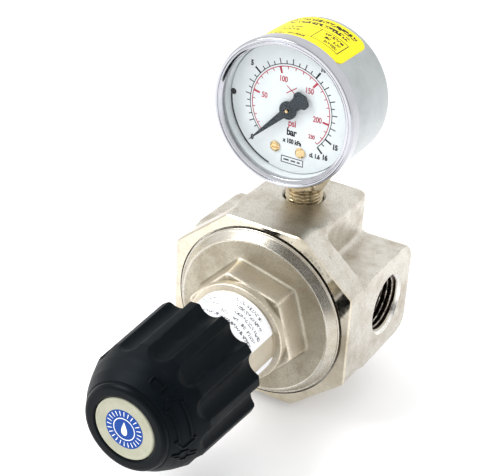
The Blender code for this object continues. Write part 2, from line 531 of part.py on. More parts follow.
def makeMovement():
    """Makes the gauge's movement: plates, pillars, sector, arbor, pointer, link, tube and hairspring."""
    pivot = polar(GEAR_MODULE * (PINION_TEETH + SECTOR_TEETH) / 2, SECTOR_PIVOT_ANGLE)
    pillars = {"movement_pillar_upper": (9.0, 2.5), "movement_pillar_lower": (6.5, -9.0)}
    left, right, low, high = -11.4, 11.4, -12.2, 5.5
    outline = [(left, low), (right, low), (right, high), (left, high)]
    for name, back, front in (("movement_plate_rear", -24.0, -23.0), ("movement_plate_front", -18.0, -17.0)):
        flatPlate(name, [outline, circlePoints(1.0, 16), circlePoints(1.1, 16, pivot)], back, front, brass,
                  gaugeAxis)
    for name, (x, y) in pillars.items():
        rod(name, 1.2, (x, y, -22.7), (x, y, -18.3), brass, gaugeAxis, steps=16)

    pinion = GEAR_MODULE * PINION_TEETH / 2
    pinionPitch = 360.0 / PINION_TEETH
    meshAngle = SECTOR_PIVOT_ANGLE
    teeth = toothedArc(pinion, meshAngle + pinionPitch / 2, meshAngle - pinionPitch / 2 + 360.0, pinionPitch)
    arbor = flatPlate("pinion_arbor", [teeth], -21.5, -19.5, steel, pointerAxis)
    shaft = turned("arbor_shaft", [(0.0, -10.9), (0.5, -11.0), (0.65, -11.4), (0.65, -24.6), (0.0, -24.6)],
                   parent=pointerAxis, steps=16, cutter=True)
    cut(arbor, shaft, "UNION")

    pointer = flatPlate("gauge_pointer", [circlePoints(3.2, 32)], -12.4, -11.8, slate, pointerAxis)
    tail = polar(6.0, POINTER_START + 180.0)
    tip = polar(19.4, POINTER_START)
    side = Vector(polar(1.0, POINTER_START + 90.0))
    needle = [polar(1.5, POINTER_START + 90.0), tuple(Vector(tip) + side * 0.15),
              tuple(Vector(tip) - side * 0.15), polar(1.5, POINTER_START - 90.0)]
    neck = [polar(1.6, POINTER_START + 90.0), tuple(Vector(tail) + side * 2.0),
            tuple(Vector(tail) - side * 2.0), polar(1.6, POINTER_START - 90.0)]
    for name, shapePoints in (("pointer_needle", needle), ("pointer_neck", neck),
                              ("pointer_weight", circlePoints(2.9, 24, tail))):
        tool = flatPlate(name, [shapePoints], -12.4, -11.8, parent=pointerAxis, cutter=True)
        cut(pointer, tool, "UNION")
    pointerHole = rod("pointer_hole", 0.95, (0.0, 0.0, -15.0), (0.0, 0.0, -10.0), parent=pointerAxis,
                      steps=16, cutter=True)
    cut(pointer, pointerHole)

    sectorRadius = GEAR_MODULE * SECTOR_TEETH / 2
    sectorPitch = 360.0 / SECTOR_TEETH
    contact = SECTOR_PIVOT_ANGLE - 180.0
    fan = toothedArc(sectorRadius, contact - 8 * sectorPitch, contact + sectorPitch, sectorPitch)
    fan += [polar(sectorRadius - 2.2, contact + sectorPitch + 2.0), polar(1.6, contact + 90.0),
            polar(1.6, contact + 150.0), polar(1.6, contact - 150.0), polar(1.6, contact - 90.0),
            polar(sectorRadius - 2.2, contact - 8 * sectorPitch - 2.0)]
    sector = flatPlate("sector_gear", [fan], -21.1, -19.9, brass, sectorAxis)
    arborShaft = rod("sector_shaft", 0.75, (0.0, 0.0, -24.3), (0.0, 0.0, -16.7), parent=sectorAxis, steps=16,
                     cutter=True)
    tailAngle = 180.0 - SECTOR_SWING / 2
    tailEnd = polar(TAIL_RADIUS, tailAngle)
    across = Vector(polar(0.9, tailAngle + 90.0))
    tailBar = flatPlate("sector_tail", [[tuple(across), tuple(Vector(tailEnd) + across),
                                         tuple(Vector(tailEnd) * 1.28), tuple(Vector(tailEnd) - across),
                                         tuple(-across)]], -21.1, -19.9, parent=sectorAxis, cutter=True)
    tailPin = rod("sector_tail_pin", 0.45, (*tailEnd, -20.5), (*tailEnd, -18.5), parent=sectorAxis, steps=12,
                  cutter=True)
    for tool in (arborShaft, tailBar, tailPin):
        cut(sector, tool, "UNION")

    lift = TAIL_RADIUS * math.sin(math.radians(SECTOR_SWING / 2))
    eye = (pivot[0] - TAIL_RADIUS * 0.93, pivot[1] + lift)
    tipCentre = polar(18.6, 224.0)
    link = rod("tip_link", 1.6, (*eye, -19.5), (*eye, -18.9), steel, tubeTipAxis, steps=20)
    rail = flatPlate("link_rail", [[(eye[0] - 1.3, eye[1]), (tipCentre[0] - 0.9, tipCentre[1]),
                                    (tipCentre[0] + 0.9, tipCentre[1]), (eye[0] + 0.4, eye[1])]],
                     -19.5, -18.9, parent=tubeTipAxis, cutter=True)
    eyeHole = rod("link_eye", 0.95, (*eye, -22.0), (*eye, -16.0), parent=tubeTipAxis, steps=16, cutter=True)
    cut(link, rail, "UNION")
    cut(link, eyeHole)
    bar("tube_tip", (2.4, 2.4, 9.0), (*tipCentre, -24.3), brass, tubeTipAxis)

    arc = [(*polar(18.0, angle), -27.5) for angle in range(-61, 218, 6)]
    wire("bourdon_tube", arc, 1.25, bronze, gaugeAxis, sides=2)
    spiral = [(*polar(1.7 + 0.55 * step / 15, 24.0 * step), -18.8) for step in range(61)]
    wire("hairspring", spiral, 0.15, springSteel, gaugeAxis, sides=0)


clearScene()
parts = newCollection("pressure_reducing_valve")
cutters = newCollection("cutters")

nickel = newMaterial("nickel_plated_brass", (0.62, 0.58, 0.5), 0.38, 1.0)
brass = newMaterial("brass", (0.72, 0.53, 0.3), 0.32, 1.0)
chrome = newMaterial("polished_steel", (0.72, 0.73, 0.74), 0.2, 1.0)
steel = newMaterial("bright_steel", (0.62, 0.62, 0.63), 0.3, 1.0)
springSteel = newMaterial("spring_steel", (0.4, 0.4, 0.42), 0.35, 1.0)
bronze = newMaterial("bourdon_bronze", (0.65, 0.42, 0.22), 0.35, 1.0)
wireCloth = newMaterial("strainer_wire_cloth", (0.55, 0.55, 0.55), 0.4, 1.0)
blackPlastic = newMaterial("black_plastic", (0.02, 0.021, 0.024), 0.45)
creamPlastic = newMaterial("cream_plastic", (0.72, 0.7, 0.58), 0.4)
white = newMaterial("dial_white", (0.8, 0.83, 0.83), 0.45)
slate = newMaterial("slate_paint", (0.05, 0.07, 0.09), 0.5)
rubber = newMaterial("black_rubber", (0.03, 0.03, 0.03), 0.7)
clear = newMaterial("clear_window", (0.95, 0.97, 0.97), 0.05, 0.0, 0.25)

axisY = (FRONT_STATION + REAR_STATION) / 2
valveAxis = newEmpty("valve_axis", (0.0, axisY, AXIS_HEIGHT), turn=90.0)
knobAxis = newEmpty("knob_axis", (0.0, 0.0, 0.0), parent=valveAxis)
nutAxis = newEmpty("spring_nut_axis", (0.0, 0.0, 0.0), parent=valveAxis)
stemAxis = newEmpty("stem_axis", (0.0, 0.0, 0.0), parent=valveAxis)
plugAxis = newEmpty("plug_axis", (0.0, axisY - GAUGE_PORT_STATION, 0.0))
gaugeAxis = newEmpty("gauge_axis", (0.0, axisY, AXIS_HEIGHT + GAUGE_HEIGHT), turn=90.0)
socketAxis = newEmpty("socket_axis", (0.0, axisY - GAUGE_PORT_STATION, AXIS_HEIGHT + GAUGE_HEIGHT))
pointerAxis = newEmpty("pointer_axis", (0.0, 0.0, 0.0), parent=gaugeAxis)
pivotX, pivotY = polar(GEAR_MODULE * (PINION_TEETH + SECTOR_TEETH) / 2, SECTOR_PIVOT_ANGLE)
sectorAxis = newEmpty("sector_axis", (pivotX, pivotY, 0.0), parent=gaugeAxis)
tubeTipAxis = newEmpty("tube_tip_axis", (0.0, 0.0, 0.0), parent=gaugeAxis)

makeBody()
makeBonnet()
makeSpindle()
makeKnob()
makeValveInsert()
makePlug()
makeGaugeCase()
makeMovement()
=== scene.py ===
import json
import math

import bmesh
import bpy
import numpy as np
from mathutils import Matrix, Vector


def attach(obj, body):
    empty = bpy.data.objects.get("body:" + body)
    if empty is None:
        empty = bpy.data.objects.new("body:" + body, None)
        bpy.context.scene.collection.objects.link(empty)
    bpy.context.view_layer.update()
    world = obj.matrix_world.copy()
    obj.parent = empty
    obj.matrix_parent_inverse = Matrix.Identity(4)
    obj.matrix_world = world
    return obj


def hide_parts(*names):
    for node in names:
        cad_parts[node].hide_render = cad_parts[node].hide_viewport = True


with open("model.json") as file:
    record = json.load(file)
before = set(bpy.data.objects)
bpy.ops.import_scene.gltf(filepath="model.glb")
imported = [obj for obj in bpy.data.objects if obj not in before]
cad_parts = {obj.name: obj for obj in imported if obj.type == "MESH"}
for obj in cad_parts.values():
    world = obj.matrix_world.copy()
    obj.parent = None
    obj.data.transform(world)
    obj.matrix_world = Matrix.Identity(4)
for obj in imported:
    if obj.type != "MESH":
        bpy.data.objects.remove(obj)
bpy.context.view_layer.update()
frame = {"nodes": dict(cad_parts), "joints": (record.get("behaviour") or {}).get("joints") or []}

# Shapes are in millimetres. A station is a distance in front of the joint between body and bonnet.
mm = 0.001
joints = {joint["name"]: joint for joint in frame["joints"]}
jointPlane = joints["knob_turn"]["pos_m"][1] / mm
valveHeight = joints["knob_turn"]["pos_m"][2] / mm
gaugeHeight = joints["pointer_turn"]["pos_m"][2] / mm
valveCentre = (0.0, jointPlane, valveHeight)
gaugeCentre = (0.0, jointPlane, gaugeHeight)


# Puts numpy arrays into a mesh, and turns its faces outwards if its signed volume is negative.
def makeMesh(name, points, quads, triangles=None):
    triangles = np.zeros((0, 3), int) if triangles is None else triangles
    split = np.concatenate([quads[:, [0, 1, 2]], quads[:, [0, 2, 3]], triangles])
    first, second, third = (points[split[:, k]] for k in range(3))
    if np.einsum("ij,ij->", first, np.cross(second, third)) < 0:
        quads, triangles = quads[:, ::-1], triangles[:, ::-1]
    corners = np.concatenate([quads.ravel(), triangles.ravel()])
    sizes = np.concatenate([np.full(len(quads), 4), np.full(len(triangles), 3)])
    mesh = bpy.data.meshes.new(name)
    mesh.vertices.add(len(points))
    mesh.vertices.foreach_set("co", (points * mm).astype(np.float32).ravel())
    mesh.loops.add(len(corners))
    mesh.loops.foreach_set("vertex_index", corners.astype(np.int32))
    mesh.polygons.add(len(sizes))
    mesh.polygons.foreach_set("loop_start", (np.cumsum(sizes) - sizes).astype(np.int32))
    mesh.update(calc_edges=True)
    mesh.validate()
    return mesh


# Skins a grid of rows and columns. Columns close on themselves; rows do too, or end in a fan each.
def gridMesh(name, grid, closed=False):
    rows, columns = grid.shape[:2]
    index = np.arange(rows * columns).reshape(rows, columns)
    after = np.roll(index, -1, axis=1)
    if closed:
        upper, upperAfter = np.roll(index, -1, axis=0), np.roll(after, -1, axis=0)
        lower, lowerAfter = index, after
    else:
        lower, lowerAfter, upper, upperAfter = index[:-1], after[:-1], index[1:], after[1:]
    quads = np.stack([lower, lowerAfter, upperAfter, upper], -1).reshape(-1, 4)
    points = grid.reshape(-1, 3)
    if closed:
        return makeMesh(name, points, quads)
    ends = np.stack([grid[0].mean(0), grid[-1].mean(0)])
    count = len(points)
    fans = [np.stack([after[0], index[0], np.full(columns, count)], -1),
        np.stack([index[-1], after[-1], np.full(columns, count + 1)], -1)]
    return makeMesh(name, np.concatenate([points, ends]), quads, np.concatenate(fans))


# Replaces each corner (x, y, rounding) by an arc that is tangent to both of its sides.
def roundedPath(corners, closed=False, steps=6):
    path = []
    for index, (x, y, rounding) in enumerate(corners):
        here = np.array((x, y), float)
        if rounding == 0 or (not closed and index in (0, len(corners) - 1)):
            path.append(here)
            continue
        before = np.array(corners[index - 1][:2], float) - here
        after = np.array(corners[(index + 1) % len(corners)][:2], float) - here
        shortest = min(np.linalg.norm(before), np.linalg.norm(after))
        before /= np.linalg.norm(before)
        after /= np.linalg.norm(after)
        half = math.acos(np.clip(before @ after, -1, 1)) / 2
        reach = min(rounding / math.tan(half), 0.48 * shortest)
        radius = reach * math.tan(half)
        middle = (before + after) / np.linalg.norm(before + after)
        centre = here + middle * radius / math.sin(half)
        start, end = here + before * reach - centre, here + after * reach - centre
        first = math.atan2(start[1], start[0])
        sweep = (math.atan2(end[1], end[0]) - first + math.pi) % (2 * math.pi) - math.pi
        angles = first + sweep * np.linspace(0, 1, steps)
        path += list(centre + radius * np.stack([np.cos(angles), np.sin(angles)], -1))
    return np.array(path)


# Adds points so that no side of a path is longer than a step, and keeps its corners.
def resample(path, step, closed=False):
    path = np.vstack([path, path[:1]]) if closed else path
    lengths = np.linalg.norm(np.diff(path, axis=0), axis=1)
    pieces = [start + (end - start) * np.linspace(0, 1, max(int(length / step), 1), endpoint=False)[:, None]
        for start, end, length in zip(path, path[1:], lengths)]
    return np.concatenate(pieces if closed else pieces + [path[-1:]])


# Places radius, angle and station about an axis that runs towards the front, along -Y.
def aroundAxis(radius, angle, station, centre):
    radius, angle, station = np.broadcast_arrays(radius, angle, station)
    return np.stack([centre[0] + radius * np.cos(angle), centre[1] - station,
        centre[2] + radius * np.sin(angle)], -1)


# Turns a profile of (radius, station, rounding) about an axis along Y.
def turnedMesh(name, corners, centre, columns=192, closed=True, step=4.0, steps=6):
    path = resample(roundedPath(corners, closed, steps), step, closed)
    angle = np.arange(columns) * 2 * np.pi / columns
    return gridMesh(name, aroundAxis(path[:, :1], angle[None, :], path[:, 1:], centre), closed)


# Skins closed loops of points, one after the other, with a flat face over the first and the last.
def layeredMesh(name, layers):
    count = len(layers[0])
    last = count * (len(layers) - 1)
    sides = [(k + start, (k + 1) % count + start, (k + 1) % count + start + count, k + start + count)
        for start in range(0, last, count) for k in range(count)]
    mesh = bpy.data.meshes.new(name)
    mesh.from_pydata((np.concatenate(layers) * mm).tolist(), [],
        sides + [list(range(count)), list(range(last, last + count))])
    outwards(mesh)
    return mesh


# Extrudes a closed outline along X, Y or Z, with the outline in the other two axes in their order.
def prismMesh(name, outline, axis, low, high):
    outline = np.array(outline, float)
    return layeredMesh(name, [np.insert(outline, axis, place, axis=1) for place in (low, high)])


# A flat plate that faces the front, from an outline in (right, up): its front edge steps in by a bevel.
def plateMesh(name, outline, station, thickness, edge, centre):
    ahead = np.roll(outline, -1, axis=0) - np.roll(outline, 1, axis=0)
    inward = np.stack([-ahead[:, 1], ahead[:, 0]], -1) / np.linalg.norm(ahead, axis=1, keepdims=True)
    layers = [(outline, station - thickness), (outline, station - edge), (outline + inward * edge, station)]
    middle = (centre[0], centre[2])
    return layeredMesh(name, [np.insert(ring + middle, 1, centre[1] - place, axis=1) for ring,
        place in layers])


# Merges doubled points and turns every face outwards.
def outwards(mesh):
    shape = bmesh.new()
    shape.from_mesh(mesh)
    bmesh.ops.remove_doubles(shape, verts=shape.verts, dist=0.0000005)
    bmesh.ops.recalc_face_normals(shape, faces=shape.faces)
    shape.to_mesh(mesh)
    shape.free()


# Puts several meshes into one, without touching their shapes.
def joinMeshes(name, meshes):
    shape = bmesh.new()
    for mesh in meshes:
        shape.from_mesh(mesh)
    joined = bpy.data.meshes.new(name)
    shape.to_mesh(joined)
    shape.free()
    return joined


# Runs modifiers on a mesh and returns the result. Each is (type, {setting: value}).
def applied(mesh, *settings):
    holder = bpy.data.objects.new("holder", mesh)
    bpy.context.scene.collection.objects.link(holder)
    for kind, values in settings:
        modifier = holder.modifiers.new(kind, kind)
        for name, value in values.items():
            setattr(modifier, name, value)
    evaluated = holder.evaluated_get(bpy.context.evaluated_depsgraph_get())
    result = bpy.data.meshes.new_from_object(evaluated)
    bpy.data.objects.remove(holder)
    return result


# Cuts or joins closed meshes, one after the other.
def combined(mesh, tools, operation="DIFFERENCE"):
    for tool in tools:
        cutter = bpy.data.objects.new("cutter", tool)
        bpy.context.scene.collection.objects.link(cutter)
        mesh = applied(mesh, ("BOOLEAN", {"object": cutter, "operation": operation, "solver": "MANIFOLD"}))
        bpy.data.objects.remove(cutter)
    return mesh


# A screw thread: the radius falls from its crest to its root and back once in each pitch.
def threadRadius(angle, along, crest, depth, pitch):
    phase = (along / pitch - angle / (2 * np.pi)) % 1.0
    tooth = np.clip((1 - np.abs(2 * phase - 1) - 0.14) / 0.72, 0, 1)
    return crest - depth * tooth


# Makes the object of a piece, shades it, and ties it to the frame.
def showPiece(name, mesh, finishes, body, replaces=(), sharp=32):
    mesh.name = name
    mesh.materials.clear()
    for finishName in finishes.split():
        mesh.materials.append(finish[finishName])
    mesh.shade_smooth()
    mesh.set_sharp_from_angle(angle=math.radians(sharp))
    piece = bpy.data.objects.new(name, mesh)
    bpy.context.scene.collection.objects.link(piece)
    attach(piece, body)
    if replaces:
        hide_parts(*replaces)


# Reads a vector for each face or vertex of a mesh into an array.
def readVectors(items, field):
    values = np.zeros(len(items) * 3, np.float32)
    items.foreach_get(field, values)
    return values.reshape(-1, 3)


# Stores how much bright colour each vertex gets, from 0 to 1, for the finishes to read: partly worn metal,
# partly painted highlight on edges and crests.
def markRubbed(mesh, amount):
    layer = mesh.attributes.new("wearAndHighlight", "FLOAT", "POINT")
    layer.data.foreach_set("value", amount.astype(np.float32))


# Turns an sRGB hex colour into the linear values that a shader takes.
def linear(code):
    parts = [int(code[k:k + 2], 16) / 255 for k in (1, 3, 5)]
    return (*[c / 12.92 if c <= 0.04045 else ((c + 0.055) / 1.055) ** 2.4 for c in parts], 1.0)


# Adds a node, with values or links for its inputs and settings of its own.
def addNode(tree, kind, inputs=None, **settings):
    node = tree.nodes.new("ShaderNode" + kind)
    for name, value in settings.items():
        setattr(node, name, value)
    for socket, value in (inputs or {}).items():
        if isinstance(value, bpy.types.NodeSocket):
            tree.links.new(value, node.inputs[socket])
        else:
            node.inputs[socket].default_value = value
    return node


# A new material with a Principled shader, and the object's own coordinates in metres.
def startMaterial(name):
    material = bpy.data.materials.new(name)
    material.use_nodes = True
    tree = material.node_tree
    coords = addNode(tree, "TexCoord").outputs["Object"]
    return material, tree, tree.nodes["Principled BSDF"], coords


# Joins an output to a node's input.
def link(tree, output, node, socket):
    tree.links.new(output, node.inputs[socket])


# The result of a maths node on one or two values.
def calc(tree, operation, first, second=None):
    values = {0: first} if second is None else {0: first, 1: second}
    return addNode(tree, "Math", values, operation=operation).outputs[0]


# Links the three things that every finish ends with.
def dress(tree, shader, colour, roughness, bump):
    link(tree, colour, shader, "Base Color")
    link(tree, roughness, shader, "Roughness")
    link(tree, bump.outputs["Normal"], shader, "Normal")


metalFinishes = {
    # name: colour, stain colour, least and most roughness, grain size in mm, grain depth in mm, specks
    "blastedNickel": ("#D8D4CB", "#988A72", 0.3, 0.46, 0.45, 0.028, 0.7),  # shot-blasted brass: soft sheen
    "castNickel": ("#B2AB9B", "#7F7562", 0.34, 0.5, 0.45, 0.06, 0.6),  # hot-pressed: dull, coarser skin
    "lappedNickel": ("#D2CBBA", "#AA9C82", 0.05, 0.11, 1.5, 0.0006, 0.4),  # polished: nearly a mirror
    "turnedNickel": ("#C6C2B8", "#A1957F", 0.22, 0.34, 0.5, 0.002, 0.35),  # turned: rings smear the light
    "threadNickel": ("#4A3D31", "#1E1813", 0.2, 0.38, 0.5, 0.003, 0.5),  # dark: grease in the thread, painted shade in the bore and recesses
    "turnedBrass": ("#D9BE8E", "#A88650", 0.2, 0.32, 0.6, 0.002, 0.2),  # bare turned brass: warm and bright
    "platedBrass": ("#CABEA4", "#6F5C42", 0.14, 0.26, 0.6, 0.002, 0.4),  # thinly plated: pale, a bit warm
    "polishedSteel": ("#B4B9BA", "#A0A5A6", 0.28, 0.4, 0.6, 0.004, 0.15),  # drawn stainless: an even grey
    "chromedSteel": ("#BABBC0", "#A9ABB0", 0.06, 0.12, 2.0, 0.001, 0.0),  # rolled and chromed: crisp lines
    "satinSteel": ("#CDD0D3", "#A9ADB2", 0.24, 0.36, 1.2, 0.002, 0.1),  # turned steel: neutral and soft
    "springSteel": ("#8E9095", "#5C5A57", 0.28, 0.42, 0.5, 0.003, 0.3),  # oiled spring wire: dark grey
    "drawnBronze": ("#C08A5C", "#8A5A36", 0.24, 0.36, 0.7, 0.002, 0.3),  # drawn tin bronze tube: reddish
}

wearAndHighlightFinishes = {
    # name: bright colour painted on edges and thread crests, partly worn metal and partly painted highlight
    "castNickel": "#F1E6D2",
    "threadNickel": "#E6DED2",
    "turnedNickel": "#F6F4F0",
}

turnedAbout = {"turnedNickel": valveCentre}  # name: centre of its lathe rings
# Sizes of the patterns in mm.
finishSizes = {"cloud": 9.0, "spot": 2.6, "ringPitch": 0.35, "ringDepth": 0.007, "plasticCloud": 6.0}


# A metal: its colour sinks towards the stain colour by a cloudy noise and a fine one, and cells add specks.
# The fine noise also moves the roughness and raises the grain. Real blasting and lathe marks are 0.05 to
# 0.1 mm wide; they are drawn several times coarser so that they show.
def metal(name):
    colour, stain, smooth, rough, grain, depth, specks = metalFinishes[name]
    material, tree, shader, coords = startMaterial(name)
    cloud = addNode(tree, "TexNoise", {"Vector": coords, "Scale": 1 / (finishSizes["cloud"] * mm),
        "Detail": 4.0, "Roughness": 0.6}).outputs["Fac"]
    fine = addNode(tree, "TexNoise", {"Vector": coords, "Scale": 1 / (grain * mm), "Detail": 3.0,
        "Roughness": 0.55}).outputs["Fac"]
    cells = addNode(tree, "TexVoronoi", {"Vector": coords, "Scale": 1 / (finishSizes["spot"] * mm),
        "Randomness": 1.0}).outputs["Distance"]
    colours = linear(colour)
    for pattern, least, most, none, full, mark in ((cloud, 0.42, 0.78, 0.0, 0.75, stain),
            (fine, 0.45, 0.75, 0.0, 0.75 * specks, stain), (cells, 0.05, 0.11, specks, 0.0, "#4A4238")):
        share = addNode(tree, "MapRange", {"Value": pattern, "From Min": least, "From Max": most,
            "To Min": none, "To Max": full}).outputs["Result"]
        colours = addNode(tree, "Mix", {"Factor": share, "A": colours, "B": linear(mark)},
            data_type="RGBA").outputs[2]
    roughness = addNode(tree, "MapRange", {"Value": fine, "From Min": 0.3, "From Max": 0.7,
        "To Min": smooth, "To Max": rough}).outputs["Result"]
    bump = addNode(tree, "Bump", {"Height": fine, "Strength": 1.0, "Distance": depth * mm})
    if name in turnedAbout:
        place = addNode(tree, "Mapping", {"Vector": coords, "Location": tuple(-c * mm
            for c in turnedAbout[name])})
        # A wave repeats every 0.314 over its scale.
        wave = addNode(tree, "TexWave", {"Vector": place.outputs["Vector"], "Distortion": 0.4,
            "Detail": 2.0, "Scale": 0.314 / (finishSizes["ringPitch"] * mm)}, wave_type="RINGS",
            rings_direction="Y")
        bump = addNode(tree, "Bump", {"Height": wave.outputs["Fac"], "Strength": 1.0,
            "Distance": finishSizes["ringDepth"] * mm, "Normal": bump.outputs["Normal"]})
    # Edges and crests are mixed towards the bright colour: partly wear, partly a painted highlight.
    if name in wearAndHighlightFinishes:
        wearAndHighlight = addNode(tree, "Attribute", attribute_name="wearAndHighlight").outputs["Fac"]
        patches = addNode(tree, "MapRange", {"Value": fine, "From Min": 0.35, "From Max": 0.6,
            "To Min": 0.35, "To Max": 1.0}).outputs["Result"]
        bare = calc(tree, "MULTIPLY", wearAndHighlight, patches)
        colours = addNode(tree, "Mix", {"Factor": bare, "A": colours, "B": linear(wearAndHighlightFinishes[name])},
            data_type="RGBA").outputs[2]
    shader.inputs["Metallic"].default_value = 1.0
    dress(tree, shader, colours, roughness, bump)
    return material


plasticFinishes = {
    # name: colour, worn colour, least and most roughness, grain size in mm, grain depth in mm
    "mouldedNylon": ("#020609", "#080C10", 0.42, 0.56, 0.28, 0.014),  # moulded nylon: black, dull grain
    "smoothNylon": ("#010305", "#05080A", 0.3, 0.4, 0.5, 0.004),  # from a polished part of the mould
    "creamAbs": ("#ABAB99", "#9C9C86", 0.32, 0.42, 0.6, 0.003),  # moulded ABS: smooth, slightly yellowed
    "dialEnamel": ("#D7DDDF", "#CFD6D8", 0.34, 0.44, 0.8, 0.001),  # stoved enamel: flat cool white
    "slateEnamel": ("#252E34", "#1C242A", 0.36, 0.46, 0.3, 0.003),  # sprayed enamel: dark blue-grey
    "sealRubber": ("#1A1A1B", "#2A2A2A", 0.6, 0.75, 0.3, 0.01),  # moulded nitrile rubber: matt black
    "blackInkAndShade": ("#0D1013", "#181C20", 0.4, 0.5, 0.4, 0.001),  # screen-printed: thin, even, nearly black
    "redInk": ("#A52A3E", "#B54254", 0.4, 0.5, 0.4, 0.001),  # the same in a dull wine red
    "blueInk": ("#103F8C", "#184A98", 0.35, 0.45, 0.4, 0.001),  # the same in a deep blue
    "whiteInk": ("#EDEFF0", "#E0E3E5", 0.35, 0.45, 0.4, 0.001),  # the same in a flat white
}


# A plastic, paint or ink: a cloudy noise moves its colour and gloss, and a fine one raises its grain.
def plastic(name):
    colour, worn, smooth, rough, grain, depth = plasticFinishes[name]
    material, tree, shader, coords = startMaterial(name)
    cloud = addNode(tree, "TexNoise", {"Vector": coords, "Scale": 1 / (finishSizes["plasticCloud"] * mm),
        "Detail": 5.0, "Roughness": 0.65}).outputs["Fac"]
    fine = addNode(tree, "TexNoise", {"Vector": coords, "Scale": 1 / (grain * mm),
        "Detail": 2.0}).outputs["Fac"]
    wear = addNode(tree, "MapRange", {"Value": cloud, "From Min": 0.4, "From Max": 0.75}).outputs["Result"]
    tint = addNode(tree, "Mix", {"Factor": wear, "A": linear(colour), "B": linear(worn)}, data_type="RGBA")
    roughness = addNode(tree, "MapRange", {"Value": cloud, "From Min": 0.3, "From Max": 0.7,
        "To Min": smooth, "To Max": rough}).outputs["Result"]
    bump = addNode(tree, "Bump", {"Height": fine, "Strength": 1.0, "Distance": depth * mm})
    shader.inputs["Specular IOR Level"].default_value = 0.12
    if "Nylon" in name:
        shader.inputs["Specular Tint"].default_value = linear("#C0D0DC")
    dress(tree, shader, tint.outputs[2], roughness, bump)
    return material


# Clear acrylic: it lets light straight through and mirrors a little, more so at a glance.
def clearAcrylic():
    material, tree, shader, coords = startMaterial("clearAcrylic")
    tree.nodes.remove(shader)
    scuffs = addNode(tree, "TexNoise", {"Vector": coords, "Scale": 1 / (7 * mm), "Detail": 4.0})
    roughness = addNode(tree, "MapRange", {"Value": scuffs.outputs["Fac"], "To Min": 0.02,
        "To Max": 0.07}).outputs["Result"]
    gloss = addNode(tree, "BsdfAnisotropic", {"Color": (1, 1, 1, 1), "Roughness": roughness})
    clear = addNode(tree, "BsdfTransparent", {"Color": linear("#FFFFFF")})
    glance = addNode(tree, "LayerWeight", {"Blend": 0.5}).outputs["Facing"]
    steep = calc(tree, "POWER", glance, 5.0)
    share = addNode(tree, "MapRange", {"Value": steep, "To Min": 0.01, "To Max": 0.5})
    mixed = addNode(tree, "MixShader", {0: share.outputs["Result"], 1: clear.outputs["BSDF"],
        2: gloss.outputs["BSDF"]})
    link(tree, mixed.outputs["Shader"], tree.nodes["Material Output"], "Surface")
    return material


print("finishes")
finish = {name: metal(name) for name in metalFinishes}
finish.update({name: plastic(name) for name in plasticFinishes})
finish["clearAcrylic"] = clearAcrylic()

bodyShape = {
    "halfWidth": 34.1, "halfHeight": 33.2, "cornerX": 19.7, "cornerZ": 16.55,
    "front": -0.25, "flangeRear": -12.0, "portFront": -11.0, "rear": -48.0, "portHalfHeight": 18.0,
    "gaugeHalfWidth": 17.3, "gaugeFront": -9.0, "gaugeRear": -44.5, "gaugeTop": 33.2, "edge": 4.0,
    "chamfer": 0.55, "roughVoxel": 0.7, "fineVoxel": 0.55, "smoothing": 16, "allowance": 3.0,
    "portStation": -30.0, "portCrest": 9.32, "portDepth": 1.16, "portPitch": 1.814, "portMouth": 11.25,
    "portThread": 15.0, "gaugeStation": -28.0, "gaugeBore": 6.9, "gaugeMouth": 7.7,
    "recess": 31.8, "recessFloor": -1.9,
}


# A tap with a coned mouth: a right-hand thread about X, from outside the face to the end of the bore.
def portCutter(side, depth):
    s = bodyShape
    inward = np.concatenate([np.arange(-2.0, s["portThread"], 0.16), [s["portThread"] + 0.2, depth]])
    angle = np.arange(96) * 2 * np.pi / 96
    along, around = inward[:, None], angle[None, :]
    tap = threadRadius(around, -along, s["portCrest"] + s["portDepth"], s["portDepth"], s["portPitch"])
    tap = np.where(along > s["portThread"], s["portCrest"], tap)
    mouth = s["portMouth"] - along * 0.95
    radius = np.maximum(tap, np.where(along < 0, s["portMouth"], mouth))
    x = side * (s["halfWidth"] - along + 0 * around)
    y = jointPlane - s["portStation"] + side * radius * np.cos(around)
    z = valveHeight + radius * np.sin(around)
    return gridMesh("port_tap", np.stack([x, y, z], -1))


